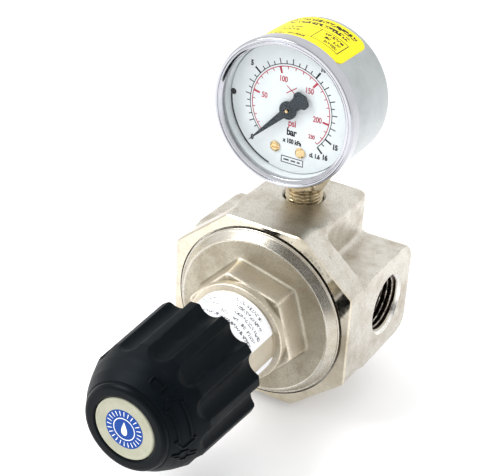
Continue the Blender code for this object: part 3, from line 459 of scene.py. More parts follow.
# The forging: prisms melted together by a voxel skin, then machined flat, then drilled and tapped.
def makeBody():
    s = bodyShape
    spare = s["allowance"]
    wide, high = s["halfWidth"], s["halfHeight"]
    octagon = [(sx * x, sz * z, 0.9) for sx, sz, flip in ((1, 1, 1), (-1, 1, -1), (-1, -1, 1), (1, -1, -1))
        for x, z in [(wide, high - s["cornerZ"]), (wide - s["cornerX"], high)][::flip]]
    octagon = roundedPath(octagon, closed=True) + (0, valveHeight)
    edge = s["edge"]
    portSection = [(jointPlane - s["portFront"], valveHeight - s["portHalfHeight"], edge),
        (jointPlane - s["rear"], valveHeight - s["portHalfHeight"], 5.5),
        (jointPlane - s["rear"], valveHeight + s["portHalfHeight"], 8.0),
        (jointPlane - s["portFront"], valveHeight + s["portHalfHeight"], edge)]
    half = s["gaugeHalfWidth"]
    gaugeSection = [(-half, jointPlane - s["gaugeFront"], edge), (half, jointPlane - s["gaugeFront"], edge),
        (half, jointPlane - s["gaugeRear"], edge), (-half, jointPlane - s["gaugeRear"], edge)]
    forging = joinMeshes("forging", [prismMesh("flange", octagon, 1, jointPlane - s["front"] - spare - 1,
        jointPlane - s["flangeRear"]), prismMesh("port_bar", roundedPath(portSection, True), 0,
        -wide - spare, wide + spare), prismMesh("gauge_bar", roundedPath(gaugeSection, True), 2, -spare,
        valveHeight + s["gaugeTop"])])
    forging = applied(forging, ("REMESH", {"mode": "VOXEL", "voxel_size": s["roughVoxel"] * mm}),
        ("SMOOTH", {"factor": 0.5, "iterations": s["smoothing"]}))
    block = [(-wide, 0.0), (wide, 0.0), (wide, 200.0), (-wide, 200.0)]
    envelope = prismMesh("envelope", block, 1, -spare, jointPlane - s["rear"] + 5)
    machined = combined(forging, [envelope], "INTERSECT")
    machined = applied(machined, ("REMESH", {"mode": "VOXEL", "voxel_size": s["fineVoxel"] * mm}),
        ("SMOOTH", {"factor": 0.5, "iterations": 4}))
    # The front is faced last, with a small chamfer round the octagon: the tool opens out behind it.
    centred = resample(octagon - (0, valveHeight), 2.0, True)
    chamfer = s["chamfer"]
    inset = centred * (1 - chamfer / np.linalg.norm(centred, axis=1, keepdims=True))
    tool = [(inset, s["front"]), (centred * 1.003, s["front"] - chamfer),
        (centred * 3, s["front"] - chamfer), (centred * 3, s["rear"] - 9)]
    tool = np.stack([np.stack([ring[:, 0], np.full(len(ring), jointPlane - f), ring[:, 1] + valveHeight],
        -1) for ring, f in tool])
    machined = combined(machined, [gridMesh("facing", tool)], "INTERSECT")
    chamber = turnedMesh("chamber", [(0.1, 2.0, 0), (s["recess"], 2.0, 0),
        (s["recess"], s["recessFloor"], 0), (27.5, s["recessFloor"], 0), (27.5, -9.0, 0), (19.0, -9.0, 0),
        (19.0, -20.0, 0), (9.6, -20.0, 0), (9.6, -24.0, 0), (12.5, -24.0, 0), (12.5, -43.0, 0),
        (0.1, -43.0, 0)], valveCentre, 160, closed=False)
    passage = turnedMesh("passage", [(0.1, -15.0, 0), (4.2, -15.0, 0), (4.2, -30.0, 0), (0.1, -30.0, 0)],
        (18.5, jointPlane, valveHeight), 40, closed=False)
    tools = [chamber, portCutter(1, 17.0), portCutter(-1, 26.0), passage]
    for top, mouth, bore, depth, away in ((valveHeight + s["gaugeTop"], s["gaugeMouth"], s["gaugeBore"], 12,
            1), (0.0, 9.2, 6.3, 13, -1)):
        shelf = 0.8 if away > 0 else 3.2
        profile = [(0.1, 3.0), (mouth, 3.0), (mouth, 0.0 if away > 0 else -shelf), (bore, -shelf),
            (bore, -depth), (0.1, -depth - 2)]
        angle = np.arange(72) * 2 * np.pi / 72
        radius, height = np.array(profile).T
        drill = np.stack([radius[:, None] * np.cos(angle), 0 * height[:, None] + jointPlane
            - s["gaugeStation"] + radius[:, None] * np.sin(angle),
            top + away * height[:, None] + 0 * angle], -1)
        tools.append(gridMesh("drill", drill))
    body = combined(machined, tools)
    centres, normals = readVectors(body.polygons, "center") / mm, readVectors(body.polygons, "normal")
    side, station, up = np.abs(centres[:, 0]), jointPlane - centres[:, 1], centres[:, 2] - valveHeight
    fromPort, fromAxis = np.hypot(station - s["portStation"], up), np.hypot(side, up)
    front = (station > -0.9) & ((normals[:, 1] < -0.5) | (fromAxis < 31.7))
    groove = (fromAxis > 31.3) & (fromAxis < 32.0) & (normals[:, 1] > -0.5) & (station > -2.5)
    bored = (fromPort < s["portMouth"] + 0.1) & (np.abs(normals[:, 0]) < 0.999)
    inside = (fromAxis < 27.6) & (station < -0.9) & (station > -43.5)
    inside &= normals[:, 0] * centres[:, 0] + normals[:, 2] * up < 0
    # The chamber's inside and the groove round the bonnet's rim take the dark thread finish as painted
    # shade in those recesses; the thread takes it too.
    slots = np.select([inside, bored & (side > s["halfWidth"] - 1.5), bored & (side > 15), groove, front],
        [2, 3, 2, 2, 1], 0).astype(np.int32)
    showPiece("forged_body", body, "blastedNickel lappedNickel threadNickel turnedNickel", "valve",
        ["valve_body"], sharp=38)
    body.polygons.foreach_set("material_index", slots)
    faced = (normals[:, 1] < -0.9999) & (np.abs(station - s["front"]) < 0.01)
    body.polygons.foreach_set("use_smooth", ~faced)
    # Thread crests and the port's mouth chamfer get the bright colour: partly wear, partly a painted
    # highlight.
    places = readVectors(body.vertices, "co") / mm
    side = np.abs(places[:, 0])
    fromPort = np.hypot(places[:, 1] - jointPlane + s["portStation"], places[:, 2] - valveHeight)
    crest = np.clip(1 - (fromPort - s["portCrest"]) / 0.4, 0, 1) * (fromPort > s["portCrest"] - 0.1)
    mouth = (fromPort < s["portMouth"] + 0.1) * (side > s["halfWidth"] - 0.9)
    markRubbed(body, np.maximum(crest * (side > 15), mouth))


print("body")
makeBody()


bonnetShape = {
    "rim": 31.15, "edge": 28.4, "face": 3.45, "hexBase": 38.0, "hexTop": 36.0, "hexFront": 12.5,
    "hexCorner": 46.2, "cornerSoftness": 4.0, "collar": 17.8, "collarFront": 15.2, "neck": 15.4,
    "neckEnd": 50.0, "columns": 360, "keyway": (14.4, 1.9),
}


# Distance from the centre to a hexagon's side, blended at the corners into a circle just inside them: the
# softer minimum of the two, -log(exp(-k a) + exp(-k b)) / k.
def hexagonRadius(angle, acrossFlats):
    s = bonnetShape
    side = acrossFlats / 2 / np.cos((angle - math.radians(s["hexCorner"])) % (math.pi / 3) - math.pi / 6)
    circle = acrossFlats / math.sqrt(3) - 0.45
    softness = s["cornerSoftness"]
    return -np.log(np.exp(-softness * side) + np.exp(-softness * circle)) / softness


# The spring bonnet, turned and forged: rows of a grid run from the thread, over the hexagon, to the neck.
def makeBonnet():
    s = bonnetShape
    angle = math.radians(s["hexCorner"]) + np.arange(s["columns"]) * 2 * np.pi / s["columns"]
    foot = roundedPath([(13.0, 46.0, 0), (13.0, 5.0, 0.5), (22.6, -2.5, 0), (22.6, -6.2, 0.2),
        (27.0, -6.2, 0.3), (27.0, -1.75, 0), (s["rim"], -1.75, 0.1), (s["rim"], 0.25, 0.25),
        (30.75, 0.5, 0.1), (30.55, 0.35, 0.1), (30.3, 0.62, 0.15), (28.75, 3.0, 0.25),
        (s["edge"], 3.55, 0.3), (27.9, 3.6, 0.2), (27.55, s["face"], 0.3), (26.5, s["face"], 0)], steps=5)
    rows = [np.tile(r, len(angle)) for r in foot[:, 0]]
    stations = list(foot[:, 1])
    slope = (s["hexTop"] - s["hexBase"]) / (s["hexFront"] - 3.5)
    for offset, station in ((1.3, s["face"]), (0.75, 3.52), (0.35, 3.8), (0.1, 4.3), (0.0, 5.0), (0.0, 7.0),
            (0.0, 9.0), (0.0, 11.0), (0.0, 11.7)):
        rows.append(hexagonRadius(angle, s["hexBase"] + slope * (station - 3.5)) + offset)
        stations.append(station)
    for offset, station in ((-0.06, 12.05), (-0.22, 12.32), (-0.48, 12.46), (-0.85, 12.5)):
        rows.append(np.maximum(hexagonRadius(angle, s["hexTop"]) + offset, s["collar"] + 0.12))
        stations.append(station)
    collar = s["collar"]
    neck = roundedPath([(collar + 0.1, 12.52, 0), (collar, 12.8, 0), (collar, s["collarFront"], 0.45),
        (s["neck"] + 0.05, s["collarFront"], 0.15), (s["neck"], s["neckEnd"], 0.6),
        (5.6, s["neckEnd"], 0.2), (5.6, 46.0, 0.2), (13.0, 46.0, 0)], steps=5)
    rows += [np.tile(r, len(angle)) for r in neck[:-1, 0]]
    stations += list(neck[:-1, 1])
    grid = aroundAxis(np.array(rows), angle[None, :], np.array(stations)[:, None], valveCentre)
    bonnet = gridMesh("bonnet", grid, closed=True)
    wide, high = s["keyway"]
    keyways = [(sx * wide, valveHeight + sz * high) for sx, sz in ((-1, -1), (1, -1), (1, 1), (-1, 1))]
    bonnet = combined(bonnet, [prismMesh("keyways", keyways, 1, jointPlane - 42.0, jointPlane - 20.0)])
    places = readVectors(bonnet.polygons, "center") / mm - valveCentre
    fromAxis, station = np.hypot(places[:, 0], places[:, 2]), -places[:, 1]
    slots = ((fromAxis > 27.7) & (station > -0.9) & (station < 3.7)).astype(np.int32)
    showPiece("spring_bonnet", bonnet, "castNickel turnedNickel", "valve", ["bonnet"], sharp=50)
    bonnet.polygons.foreach_set("material_index", slots)
    # The hexagon's front edge, corners and flats, the collar edge and the neck get the bright colour:
    # partly wear from hands and spanners, partly a painted highlight along the edges.
    places = readVectors(bonnet.vertices, "co") / mm - valveCentre
    radius, around = np.hypot(places[:, 0], places[:, 2]), np.arctan2(places[:, 2], places[:, 0])
    station = -places[:, 1]
    inside = hexagonRadius(around, s["hexTop"]) - radius
    front = np.exp(-((station - 12.38) / 0.3) ** 2 - (inside / 0.6) ** 2)
    fromCorner = (around - math.radians(s["hexCorner"]) + math.pi / 6) % (math.pi / 3) - math.pi / 6
    corner = np.exp(-(fromCorner * radius / 0.45) ** 2) * (station > 4.2) * (station < 12.6) * (radius > 18)
    collarEdge = np.exp(-((station - 15.05) / 0.25) ** 2 - ((radius - 17.65) / 0.3) ** 2)
    flats = (station > 4.6) * (station < 12.4) * (radius > 18)
    neck = (station > 12.6) * (radius > 15)
    wearAndHighlight = 0.9 * front + 0.75 * corner + 0.7 * collarEdge + 0.4 * flats + 0.35 * neck
    markRubbed(bonnet, np.clip(wearAndHighlight, 0, 1))


print("bonnet")
makeBonnet()


knobShape = {
    "rear": 36.0, "bore": 16.6, "crest": 22.4, "shoulder": 63.4, "flutes": 12, "fluteRadius": 4.5,
    "fluteCentre": 23.8, "fluteEnd": 63.0, "fluteAngle": 21.0, "softness": 3.0, "columns": 480,
    "ring": 14.8, "front": 77.0, "capRadius": 10.6, "capFace": 76.72, "discFace": 76.76, "printFace": 76.79,
    "discRadius": 6.7, "rays": 24,
}


# Station of the knob's front cone at a radius.
def knobCone(radius):
    return np.interp(radius, [15.3, 17.6, 19.4, 20.6], [75.2, 71.8, 68.2, 65.2])


# The hand knob: a turned profile whose radius is cut back by twelve round flutes with ball ends.
def makeKnob():
    s = knobShape
    outer = roundedPath([(s["bore"], s["rear"], 0.4), (21.9, s["rear"], 0.3),
        (s["crest"], s["rear"] + 0.7, 0.4), (21.45, s["shoulder"] - 0.3, 2.2), (19.5, 68.0, 3.0),
        (17.6, 71.8, 4.0), (15.35, 75.1, 0.25), (14.95, 75.15, 0.12), (s["ring"], 76.1, 0.4),
        (14.2, 76.8, 0.6), (13.4, s["front"], 0.4), (11.3, s["front"], 0.4), (10.85, 76.7, 0.2),
        (10.8, 75.2, 0)], steps=7)
    inner = [(4.7, 75.2), (4.7, 68.2), (2.75, 68.2), (2.75, 66.4), (5.2, 66.4), (5.2, 53.5),
        (s["bore"], 53.5), (s["bore"], 37.0)]
    path = np.vstack([resample(outer, 0.5), inner])
    angle = np.arange(s["columns"]) * 2 * np.pi / s["columns"]
    radius, station = path[:, :1], path[:, 1:]
    cutRadius = np.sqrt(np.clip(s["fluteRadius"] ** 2 - np.clip(station - s["fluteEnd"], 0, None) ** 2, 0,
        None))
    pitch = 2 * np.pi / s["flutes"]
    off = (angle[None, :] - math.radians(s["fluteAngle"]) + pitch / 2) % pitch - pitch / 2
    across = np.abs(s["fluteCentre"] * np.sin(off))
    inside = np.sqrt(np.clip(cutRadius ** 2 - across ** 2, 0, None))
    carved = s["fluteCentre"] * np.cos(off) - inside + 3 * np.clip(across - cutRadius, 0, None)
    k = s["softness"]
    fluted = -np.log(np.exp(-k * (radius - 20)) + np.exp(-k * (carved - 20))) / k + 20
    radii = np.where(radius > 16.9, fluted, radius)
    grid = aroundAxis(radii, angle[None, :], station, valveCentre)
    knob = gridMesh("knob", grid, closed=True)
    places = readVectors(knob.polygons, "center") / mm - valveCentre
    slots = ((np.hypot(places[:, 0], places[:, 2]) < 15.2) & (places[:, 1] < -75.0)).astype(np.int32)
    showPiece("fluted_knob", knob, "mouldedNylon smoothNylon", "knob", ["adjusting_knob"],
        sharp=60)
    knob.polygons.foreach_set("material_index", slots)


knobMarks = {
    # outlines on the cone, in (degrees around, radius); the corners are joined by straight sides
    "minus": [(57, 17.3), (71, 17.3), (71, 18.5), (57, 18.5)],
    "arrow": [(48, 17.6), (38, 19.7), (38, 18.8), (2, 18.8), (2, 19.7), (-8, 17.6), (2, 16.0), (2, 16.8),
              (38, 16.8), (38, 16.0)],
    "plus": [(-12, 17.4), (-16, 17.4), (-16, 16.1), (-20, 16.1), (-20, 17.4), (-24, 17.4), (-24, 18.6),
             (-20, 18.6), (-20, 19.9), (-16, 19.9), (-16, 18.6), (-12, 18.6)],
}


# Raised outlines on the cone: a small bar section carried along each closed outline.
def makeKnobMarks():
    section = np.array([(-0.36, -0.2), (-0.34, 0.26), (-0.18, 0.42), (0.18, 0.42), (0.34, 0.26),
        (0.36, -0.2)])
    meanRadius = 18.0
    meshes = []
    for corners in knobMarks.values():
        flat = [(math.radians(a) * meanRadius, r, 0.3) for a, r in corners]
        path = resample(roundedPath(flat, True, 4), 0.5, True)
        angle, radius = path[:, 0] / meanRadius, path[:, 1]
        station = knobCone(radius)
        points = aroundAxis(radius, angle, station, valveCentre)
        step = 0.05
        outward = aroundAxis(radius + step, angle, knobCone(radius + step), valveCentre) - points
        around = aroundAxis(radius, angle + step / meanRadius, station, valveCentre) - points
        normal = np.cross(outward, around)
        normal /= np.linalg.norm(normal, axis=1, keepdims=True)
        normal *= np.sign(-normal[:, 1:2])
        ahead = np.roll(points, -1, axis=0) - np.roll(points, 1, axis=0)
        ahead /= np.linalg.norm(ahead, axis=1, keepdims=True)
        side = np.cross(normal, ahead)
        grid = (points[:, None, :] + section[None, :, :1] * side[:, None, :]
            + section[None, :, 1:] * normal[:, None, :])
        meshes.append(gridMesh("mark", grid, closed=True))
    showPiece("knob_marks", joinMeshes("knob_marks", meshes), "smoothNylon", "knob",
        sharp=70)


# The cream cap with a plain printed sign: a blue disc, and in white a ring, a drop and rays.
def makeKnobCap():
    s = knobShape
    cap = turnedMesh("cap", [(0.2, s["capFace"], 0), (9.4, s["capFace"], 0.5), (9.9, 76.86, 0.3),
        (10.3, 76.86, 0.25), (s["capRadius"], 76.5, 0.2), (s["capRadius"], 75.35, 0.1), (0.2, 75.35, 0)],
        valveCentre, 128, closed=False)
    showPiece("cream_cap", cap, "creamAbs", "knob", ["knob_cap"])
    disc = turnedMesh("disc", [(0.2, s["discFace"], 0), (s["discRadius"], s["discFace"], 0.02),
        (s["discRadius"], 76.6, 0), (0.2, 76.6, 0)], valveCentre, 96, closed=False)
    showPiece("cap_print_blue", disc, "blueInk", "knob")
    ring = turnedMesh("ring", [(3.9, s["printFace"], 0), (3.9, 76.65, 0), (3.6, 76.65, 0),
        (3.6, s["printFace"], 0)], valveCentre, 96)
    turn = np.linspace(0, 2 * np.pi, 48, endpoint=False)
    drop = np.stack([1.5 * np.sin(turn) * np.sin(turn / 2) ** 1.5, 0.2 + 2.5 * np.cos(turn)], -1)[::-1]
    drop = plateMesh("drop", drop, s["printFace"], 0.12, 0.005, valveCentre)
    rays = []
    for ray in range(s["rays"]):
        angle = 2 * math.pi * ray / s["rays"]
        along = np.array([math.cos(angle), math.sin(angle)])
        beside = np.array([-math.sin(angle), math.cos(angle)])
        corners = [along * r + beside * w for r, w in ((4.6, -0.1), (6.2, -0.17), (6.2, 0.17), (4.6, 0.1))]
        rays.append(plateMesh("ray", np.array(corners), s["printFace"], 0.12, 0.005, valveCentre))
    showPiece("cap_print_white", joinMeshes("white", [ring, drop] + rays), "whiteInk", "knob")


print("knob")
makeKnob()
makeKnobMarks()
makeKnobCap()


gaugeShape = {
    "case": 24.6, "caseFront": -10.9, "caseRear": -36.0, "wall": 0.8, "ring": 25.4, "dialRadius": 22.35,
    "dial": -13.8, "pointer": -11.8, "startAngle": 225.0, "sweep": 270.0, "fullBar": 16.0,
    "barPerPsi": 1 / 14.5038, "socketStation": -28.0, "socketHalf": 7.0, "socketTop": 79.9,
    "flatsBottom": 73.2, "threadCrest": 6.55, "threadDepth": 0.8, "threadPitch": 1.337, "stemHole": 5.5,
    "screwSide": 4.7, "screwDrop": 14.4,
}


# The case: a turned cup with a hole for the stem below, and the rolled ring that holds the window.
def makeCase():
    s = gaugeShape
    case, wall = s["case"], s["wall"]
    profile = [(case, s["caseFront"], 0.15), (case, s["caseRear"], 1.6), (0.2, s["caseRear"], 0),
        (0.2, s["caseRear"] + wall, 0), (case - wall, s["caseRear"] + wall, 0.9),
        (case - wall, s["caseFront"], 0.15)]
    shell = turnedMesh("case", profile, gaugeCentre, 256, closed=True, step=3.0, steps=8)
    angle = np.arange(48) * 2 * np.pi / 48
    hole = np.stack([s["stemHole"] * np.cos(angle), jointPlane - s["socketStation"]
        + s["stemHole"] * np.sin(angle)], -1)
    drill = prismMesh("drill", hole, 2, gaugeHeight - 30, gaugeHeight - 15)
    showPiece("steel_case", combined(shell, [drill]), "polishedSteel", "valve",
        ["gauge_case"])

    ring = [(22.5, -9.1, 0.05), (22.55, -8.5, 0.25), (23.55, -7.95, 0.2), (23.7, -8.2, 0.08),
        (23.95, -8.15, 0.08), (24.1, -7.65, 0.35), (24.9, -7.65, 0.5), (25.4, -8.6, 0.6),
        (s["ring"], -12.1, 0.5), (25.0, -12.9, 0.2), (24.75, -12.9, 0.05), (24.75, -9.1, 0.1)]
    showPiece("rolled_ring", turnedMesh("ring", ring, gaugeCentre, 256), "chromedSteel", "valve",
        ["gauge_ring"])


# A thin curved plate between two radii and two angles in degrees, facing the front of the gauge.
def sector(inner, outer, start, end, low, high, steps=1):
    angle = np.radians(np.linspace(start, end, steps + 1))
    loop = [(inner, low), (outer, low), (outer, high), (inner, high)]
    grid = np.stack([aroundAxis(radius, angle, station, gaugeCentre) for radius, station in loop], 1)
    return gridMesh("sector", grid)


# A thin flat bar on the dial.
def bar(x, y, width, height, low, high):
    corners = [(x - width / 2, y - height / 2), (x + width / 2, y - height / 2),
        (x + width / 2, y + height / 2), (x - width / 2, y + height / 2)]
    outline = np.array(corners) + (gaugeCentre[0], gaugeCentre[2])
    return prismMesh("bar", outline, 1, gaugeCentre[1] - high, gaugeCentre[1] - low)


# Flat type from Blender's own font, centred on a point of the dial.
def lettering(text, x, y, size, station, bold=0.0):
    curve = bpy.data.curves.new("type", "FONT")
    curve.body = text
    curve.size = size * mm
    curve.align_x = "CENTER"
    curve.align_y = "CENTER"
    curve.extrude = 0.03 * mm
    curve.offset = bold * mm
    curve.space_character = 0.95
    curve.resolution_u = 4
    holder = bpy.data.objects.new("type", curve)
    bpy.context.scene.collection.objects.link(holder)
    holder.scale = (0.82, 1.0, 1.0)
    holder.rotation_euler = (math.pi / 2, 0, 0)
    holder.location = Vector((gaugeCentre[0] + x, gaugeCentre[1] - station, gaugeCentre[2] + y)) * mm
    bpy.context.view_layer.update()
    mesh = bpy.data.meshes.new_from_object(holder.evaluated_get(bpy.context.evaluated_depsgraph_get()))
    mesh.transform(holder.matrix_world)
    bpy.data.objects.remove(holder)
    outwards(mesh)
    return mesh


# The dial plate with its rim, its two scales and figures, and the two screws that hold it.
def makeDial():
    s = gaugeShape
    front = s["dial"]
    plate = turnedMesh("dial", [(1.4, front, 0), (s["dialRadius"], front, 0.1),
        (s["dialRadius"], front - 0.6, 0), (1.4, front - 0.6, 0)], gaugeCentre, 192)
    tools = [turnedMesh("hole", [(0.1, 2.0, 0), (1.25, 2.0, 0), (1.25, -2.0, 0), (0.1, -2.0, 0)],
        (side * s["screwSide"], jointPlane - front, gaugeHeight - s["screwDrop"]), 32, closed=False)
        for side in (-1, 1)]
    showPiece("dial_plate", combined(plate, tools), "dialEnamel", "valve", ["gauge_dial"])
    rim = [(23.75, -10.75, 0.1), (23.75, front - 1.5, 0.1), (22.6, front - 1.5, 0.1), (22.6, -10.75, 0.1)]
    showPiece("dial_rim", turnedMesh("rim", rim, gaugeCentre, 192), "dialEnamel", "valve")

    low, high = front - 0.02, front + 0.03
    perBar = s["sweep"] / s["fullBar"]
    black = [sector(14.85, 15.12, s["startAngle"] - s["sweep"], s["startAngle"], low, high, 90)]
    for half in range(33):
        angle = s["startAngle"] - half * perBar / 2
        big = half in (10, 20, 30, 32)
        length = 17.6 if big else 16.9 if half % 2 == 0 else 16.2
        width = 1.1 if big else 0.62
        black.append(sector(15.0, length, angle - width, angle + width, low, high))
    red = [sector(14.05, 14.35, s["startAngle"] - 230 * s["barPerPsi"] * perBar, s["startAngle"], low, high,
        90)]
    for ten in range(24):
        angle = s["startAngle"] - ten * 10 * s["barPerPsi"] * perBar
        big = ten % 5 == 0 and ten > 0
        red.append(sector(11.9 if big else 13.2, 14.2, angle - (1.6 if big else 0.6),
            angle + (1.6 if big else 0.6), low, high))
    for value in (0, 5, 10, 15, 16):
        angle = math.radians(s["startAngle"] - value * perBar)
        black.append(lettering(str(value), 19.2 * math.cos(angle), 19.2 * math.sin(angle), 2.5, high, 0.12))
    for value in (50, 100, 150, 200, 230):
        angle = math.radians(s["startAngle"] - value * s["barPerPsi"] * perBar)
        far, size = (11.3, 2.0) if value == 230 else (10.0, 2.7)
        red.append(lettering(str(value), far * math.cos(angle), far * math.sin(angle), size, high, 0.05))
    for prints, text, x, y, size, bold in ((red, "psi", 1.0, -4.9, 3.4, 0.06),
            (black, "bar", 1.0, -8.1, 3.5, 0.12), (black, "x 100 kPa", 1.4, -11.3, 2.2, 0.09),
            (black, "cl. 1.6", 9.9, -14.0, 2.1, 0.1)):
        prints.append(lettering(text, x, y, size, high, bold))
    # A box with three dashes stands where the sign of a maker would be.
    for x, y, width, height in ((1.8, -17.0, 8.2, 0.28), (1.8, -19.2, 8.2, 0.28), (-2.2, -18.1, 0.28, 2.3),
            (5.8, -18.1, 0.28, 2.3), (-0.4, -18.1, 2.0, 0.5), (2.2, -18.1, 1.7, 0.5),
            (4.2, -18.1, 1.1, 0.5)):
        black.append(bar(x, y, width, height, low, high))
    # A black disc stands in for a notch in the dial's rim, painted as the shade seen through it. A black
    # arc along the lower left of the rim is painted shadow in the gap between dial and case.
    turn = np.radians(np.arange(0, 360, 15))
    notch = np.stack([-21.4 + 1.05 * np.cos(turn), 0.7 + 1.05 * np.sin(turn)], -1)
    black.append(plateMesh("notch", notch, high, high - low, 0.005, gaugeCentre))
    black.append(sector(21.8, 22.3, 180.0, 252.0, low, high, 60))
    for lean in (-1, 1):
        stroke = bar(0.0, 0.0, 4.4, 0.3, low, high)
        down, up = (Matrix.Translation((0.0, 0.0, z * mm)) for z in (-gaugeHeight, gaugeHeight + 6.3))
        stroke.transform(up @ Matrix.Rotation(lean * 0.62, 4, "Y") @ down)
        red.append(stroke)
    showPiece("dial_print_and_painted_shade", joinMeshes("black", black), "blackInkAndShade", "valve")
    showPiece("dial_print_red", joinMeshes("red", red), "redInk", "valve")

    for side, node in ((-1, "dial_screw_left"), (1, "dial_screw_right")):
        centre = (side * s["screwSide"], jointPlane - front, gaugeHeight - s["screwDrop"])
        head = turnedMesh("screw", [(0.1, 0.85, 0), (1.1, 0.8, 0.4), (1.8, 0.45, 0.2), (1.85, 0.06, 0.05),
            (1.0, 0.06, 0), (1.0, -3.0, 0), (0.1, -3.0, 0)], centre, 48, closed=False)
        outline = np.array([(-2.5, -0.28), (2.5, -0.28), (2.5, 0.28), (-2.5, 0.28)])
        slant = 0.5 + side * 0.35
        turn = np.array([(math.cos(slant), math.sin(slant)), (-math.sin(slant), math.cos(slant))])
        groove = prismMesh("groove", outline @ turn + (centre[0], centre[2]), 1, centre[1] - 1.5,
            centre[1] - 0.4)
        showPiece(node.replace("dial_", "brass_"), combined(head, [groove]), "turnedBrass", "valve",
            [node])


pointerShape = {
    "hub": 3.1, "tip": 19.4, "tipHalf": 0.12, "rootHalf": 1.5, "neckAngle": 142.0, "thick": 0.55,
    "edge": 0.1, "boss": 1.5, "bore": 0.8,
}


# The pointer: hub, tapered needle and rounded counterweight in one outline, with a raised hub.
def makePointer():
    s, front = pointerShape, gaugeShape["pointer"]
    hub = s["hub"]
    leave = math.asin((s["rootHalf"] - (s["rootHalf"] - s["tipHalf"]) * hub / s["tip"]) / hub)
    neck = math.radians(s["neckAngle"])
    arc = np.linspace(leave, neck, 16)
    side = np.stack([hub * np.cos(arc), hub * np.sin(arc)], -1)
    weight = roundedPath([tuple(side[-1]) + (0,), (-4.6, 2.2, 1.0), (-5.6, 3.1, 0.8), (-7.6, 3.0, 1.4),
        (-8.7, 0, 0)])
    upper = np.vstack([[(s["tip"], s["tipHalf"])], side, weight[1:]])
    lower = (upper * (1, -1))[::-1]
    outline = np.vstack([upper[:-1], lower])
    angle = math.radians(gaugeShape["startAngle"])
    turn = np.array([(math.cos(angle), math.sin(angle)), (-math.sin(angle), math.cos(angle))])
    plate = plateMesh("pointer", outline @ turn, front, s["thick"], s["edge"], gaugeCentre)
    boss = turnedMesh("boss", [(0.1, front + 0.35, 0), (s["boss"], front + 0.35, 0.2),
        (s["boss"] + 0.2, front - 0.3, 0), (0.1, front - 0.3, 0)], gaugeCentre, 48, closed=False)
    bore = turnedMesh("bore", [(0.1, 2, 0), (s["bore"], 2, 0), (s["bore"], -30, 0), (0.1, -30, 0)],
        gaugeCentre, 32, closed=False)
    pointer = combined(combined(plate, [boss], "UNION"), [bore])
    showPiece("pointer", pointer, "slateEnamel", "pointer", ["gauge_pointer"], sharp=30)


# The gauge's stem: a square with turned corners above a thread, and the block inside the case.
def makeSocket():
    s = gaugeShape
    y0 = jointPlane - s["socketStation"]
    columns = 144
    angle = np.arange(columns) * 2 * np.pi / columns
    square = s["socketHalf"] / np.maximum(np.abs(np.cos(angle)), np.abs(np.sin(angle)))
    bottom = s["flatsBottom"]
    heights = np.concatenate([np.arange(58.6, bottom - 0.5, 0.11), [bottom - 0.4, bottom - 0.1]])
    rows = [threadRadius(angle, z, s["threadCrest"], s["threadDepth"], s["threadPitch"])
        for z in heights[:-2]]
    rows += [np.full(columns, 5.9), np.full(columns, 6.1)]
    cone = [(6.75, bottom), (6.9, bottom + 0.15), (7.4, bottom + 0.75), (8.3, bottom + 1.5),
        (9.1, bottom + 2.0), (9.35, bottom + 2.4), (9.35, s["socketTop"] - 0.5), (9.1, s["socketTop"])]
    rows += [np.minimum(square, r) for r, _ in cone]
    heights = np.concatenate([heights, [z for _, z in cone]])
    rows += [np.full(columns, 4.9), np.full(columns, 4.9)]
    heights = np.concatenate([heights, [s["socketTop"] + 0.02, 86.0]])
    radii = np.array(rows)
    grid = np.stack([radii * np.cos(angle), y0 + radii * np.sin(angle), heights[:, None] + 0 * angle], -1)
    stem = gridMesh("stem", grid)
    front, rear = jointPlane + 19.3, jointPlane + 26.7
    block = prismMesh("block", [(-7.5, front), (7.5, front), (7.5, rear), (-7.5, rear)], 2,
        gaugeHeight - 23.95, gaugeHeight - 8.3)
    bodyPart = combined(stem, [block], "UNION")
    showPiece("threaded_stem", bodyPart, "platedBrass", "valve", ["gauge_socket"], sharp=38)


print("gauge")
makeCase()
makeDial()
makePointer()
makeSocket()

printDetail = {
    # blank: share of letters left out; lineHalf: half the width of a box's line; lengths are in mm
    "blank": 0.12, "lineHalf": 0.15, "fibre": 0.5, "fibreDepth": 0.004, "roughness": 0.42, "specular": 0.2,
}

# A row is (distance from the near edge, height, start, end) and a box is (u0, v0, u1, v1).
labelSheets = {
    "name_label": {
        "centre": valveCentre, "radius": 15.43, "thick": 0.1, "corner": 0.6,
        "start": 20.0, "end": 348.0, "near": 15.6, "far": 46.0,
        "slot": "nickel", "finish": "whiteLabelPaper", "paper": ("#F8F9FB", "#F0F1F4"),
        "ink": "#6A6C72", "weight": 0.56, "boxes": [],
        "rows": [(1.9, 1.35, 6.0, 17.5), (4.6, 1.35, 3.5, 16.0), (7.3, 1.35, 1.5, 14.0),
                 (10.0, 1.35, 2.0, 18.0), (1.9, 1.35, 24.0, 34.0), (4.6, 1.35, 22.0, 36.0),
                 (7.3, 1.35, 20.0, 38.0), (12.7, 1.35, 2.0, 30.0)]},
    "case_sticker": {
        "centre": gaugeCentre, "radius": 24.62, "thick": 0.1, "corner": 3.2,
        "start": 49.5, "end": 136.0, "near": -12.9, "far": -33.2,
        "slot": "polished_steel", "finish": "yellowVinyl", "paper": ("#F5E41A", "#EFDC12"),
        "ink": "#1E1B08", "weight": 0.36, "boxes": [(3.4, 3.9, 13.6, 11.9), (13.6, 3.9, 30.5, 11.9)],
        "rows": [(16.6, 2.1, 3.6, 30.0), (13.5, 2.1, 5.0, 27.0), (9.6, 1.5, 4.6, 11.5),
                 (7.2, 1.5, 4.6, 10.5), (4.8, 1.5, 4.6, 9.8), (8.8, 1.3, 19.0, 27.0),
                 (6.2, 1.3, 19.0, 26.0), (2.0, 1.2, 15.0, 32.0)]},
}


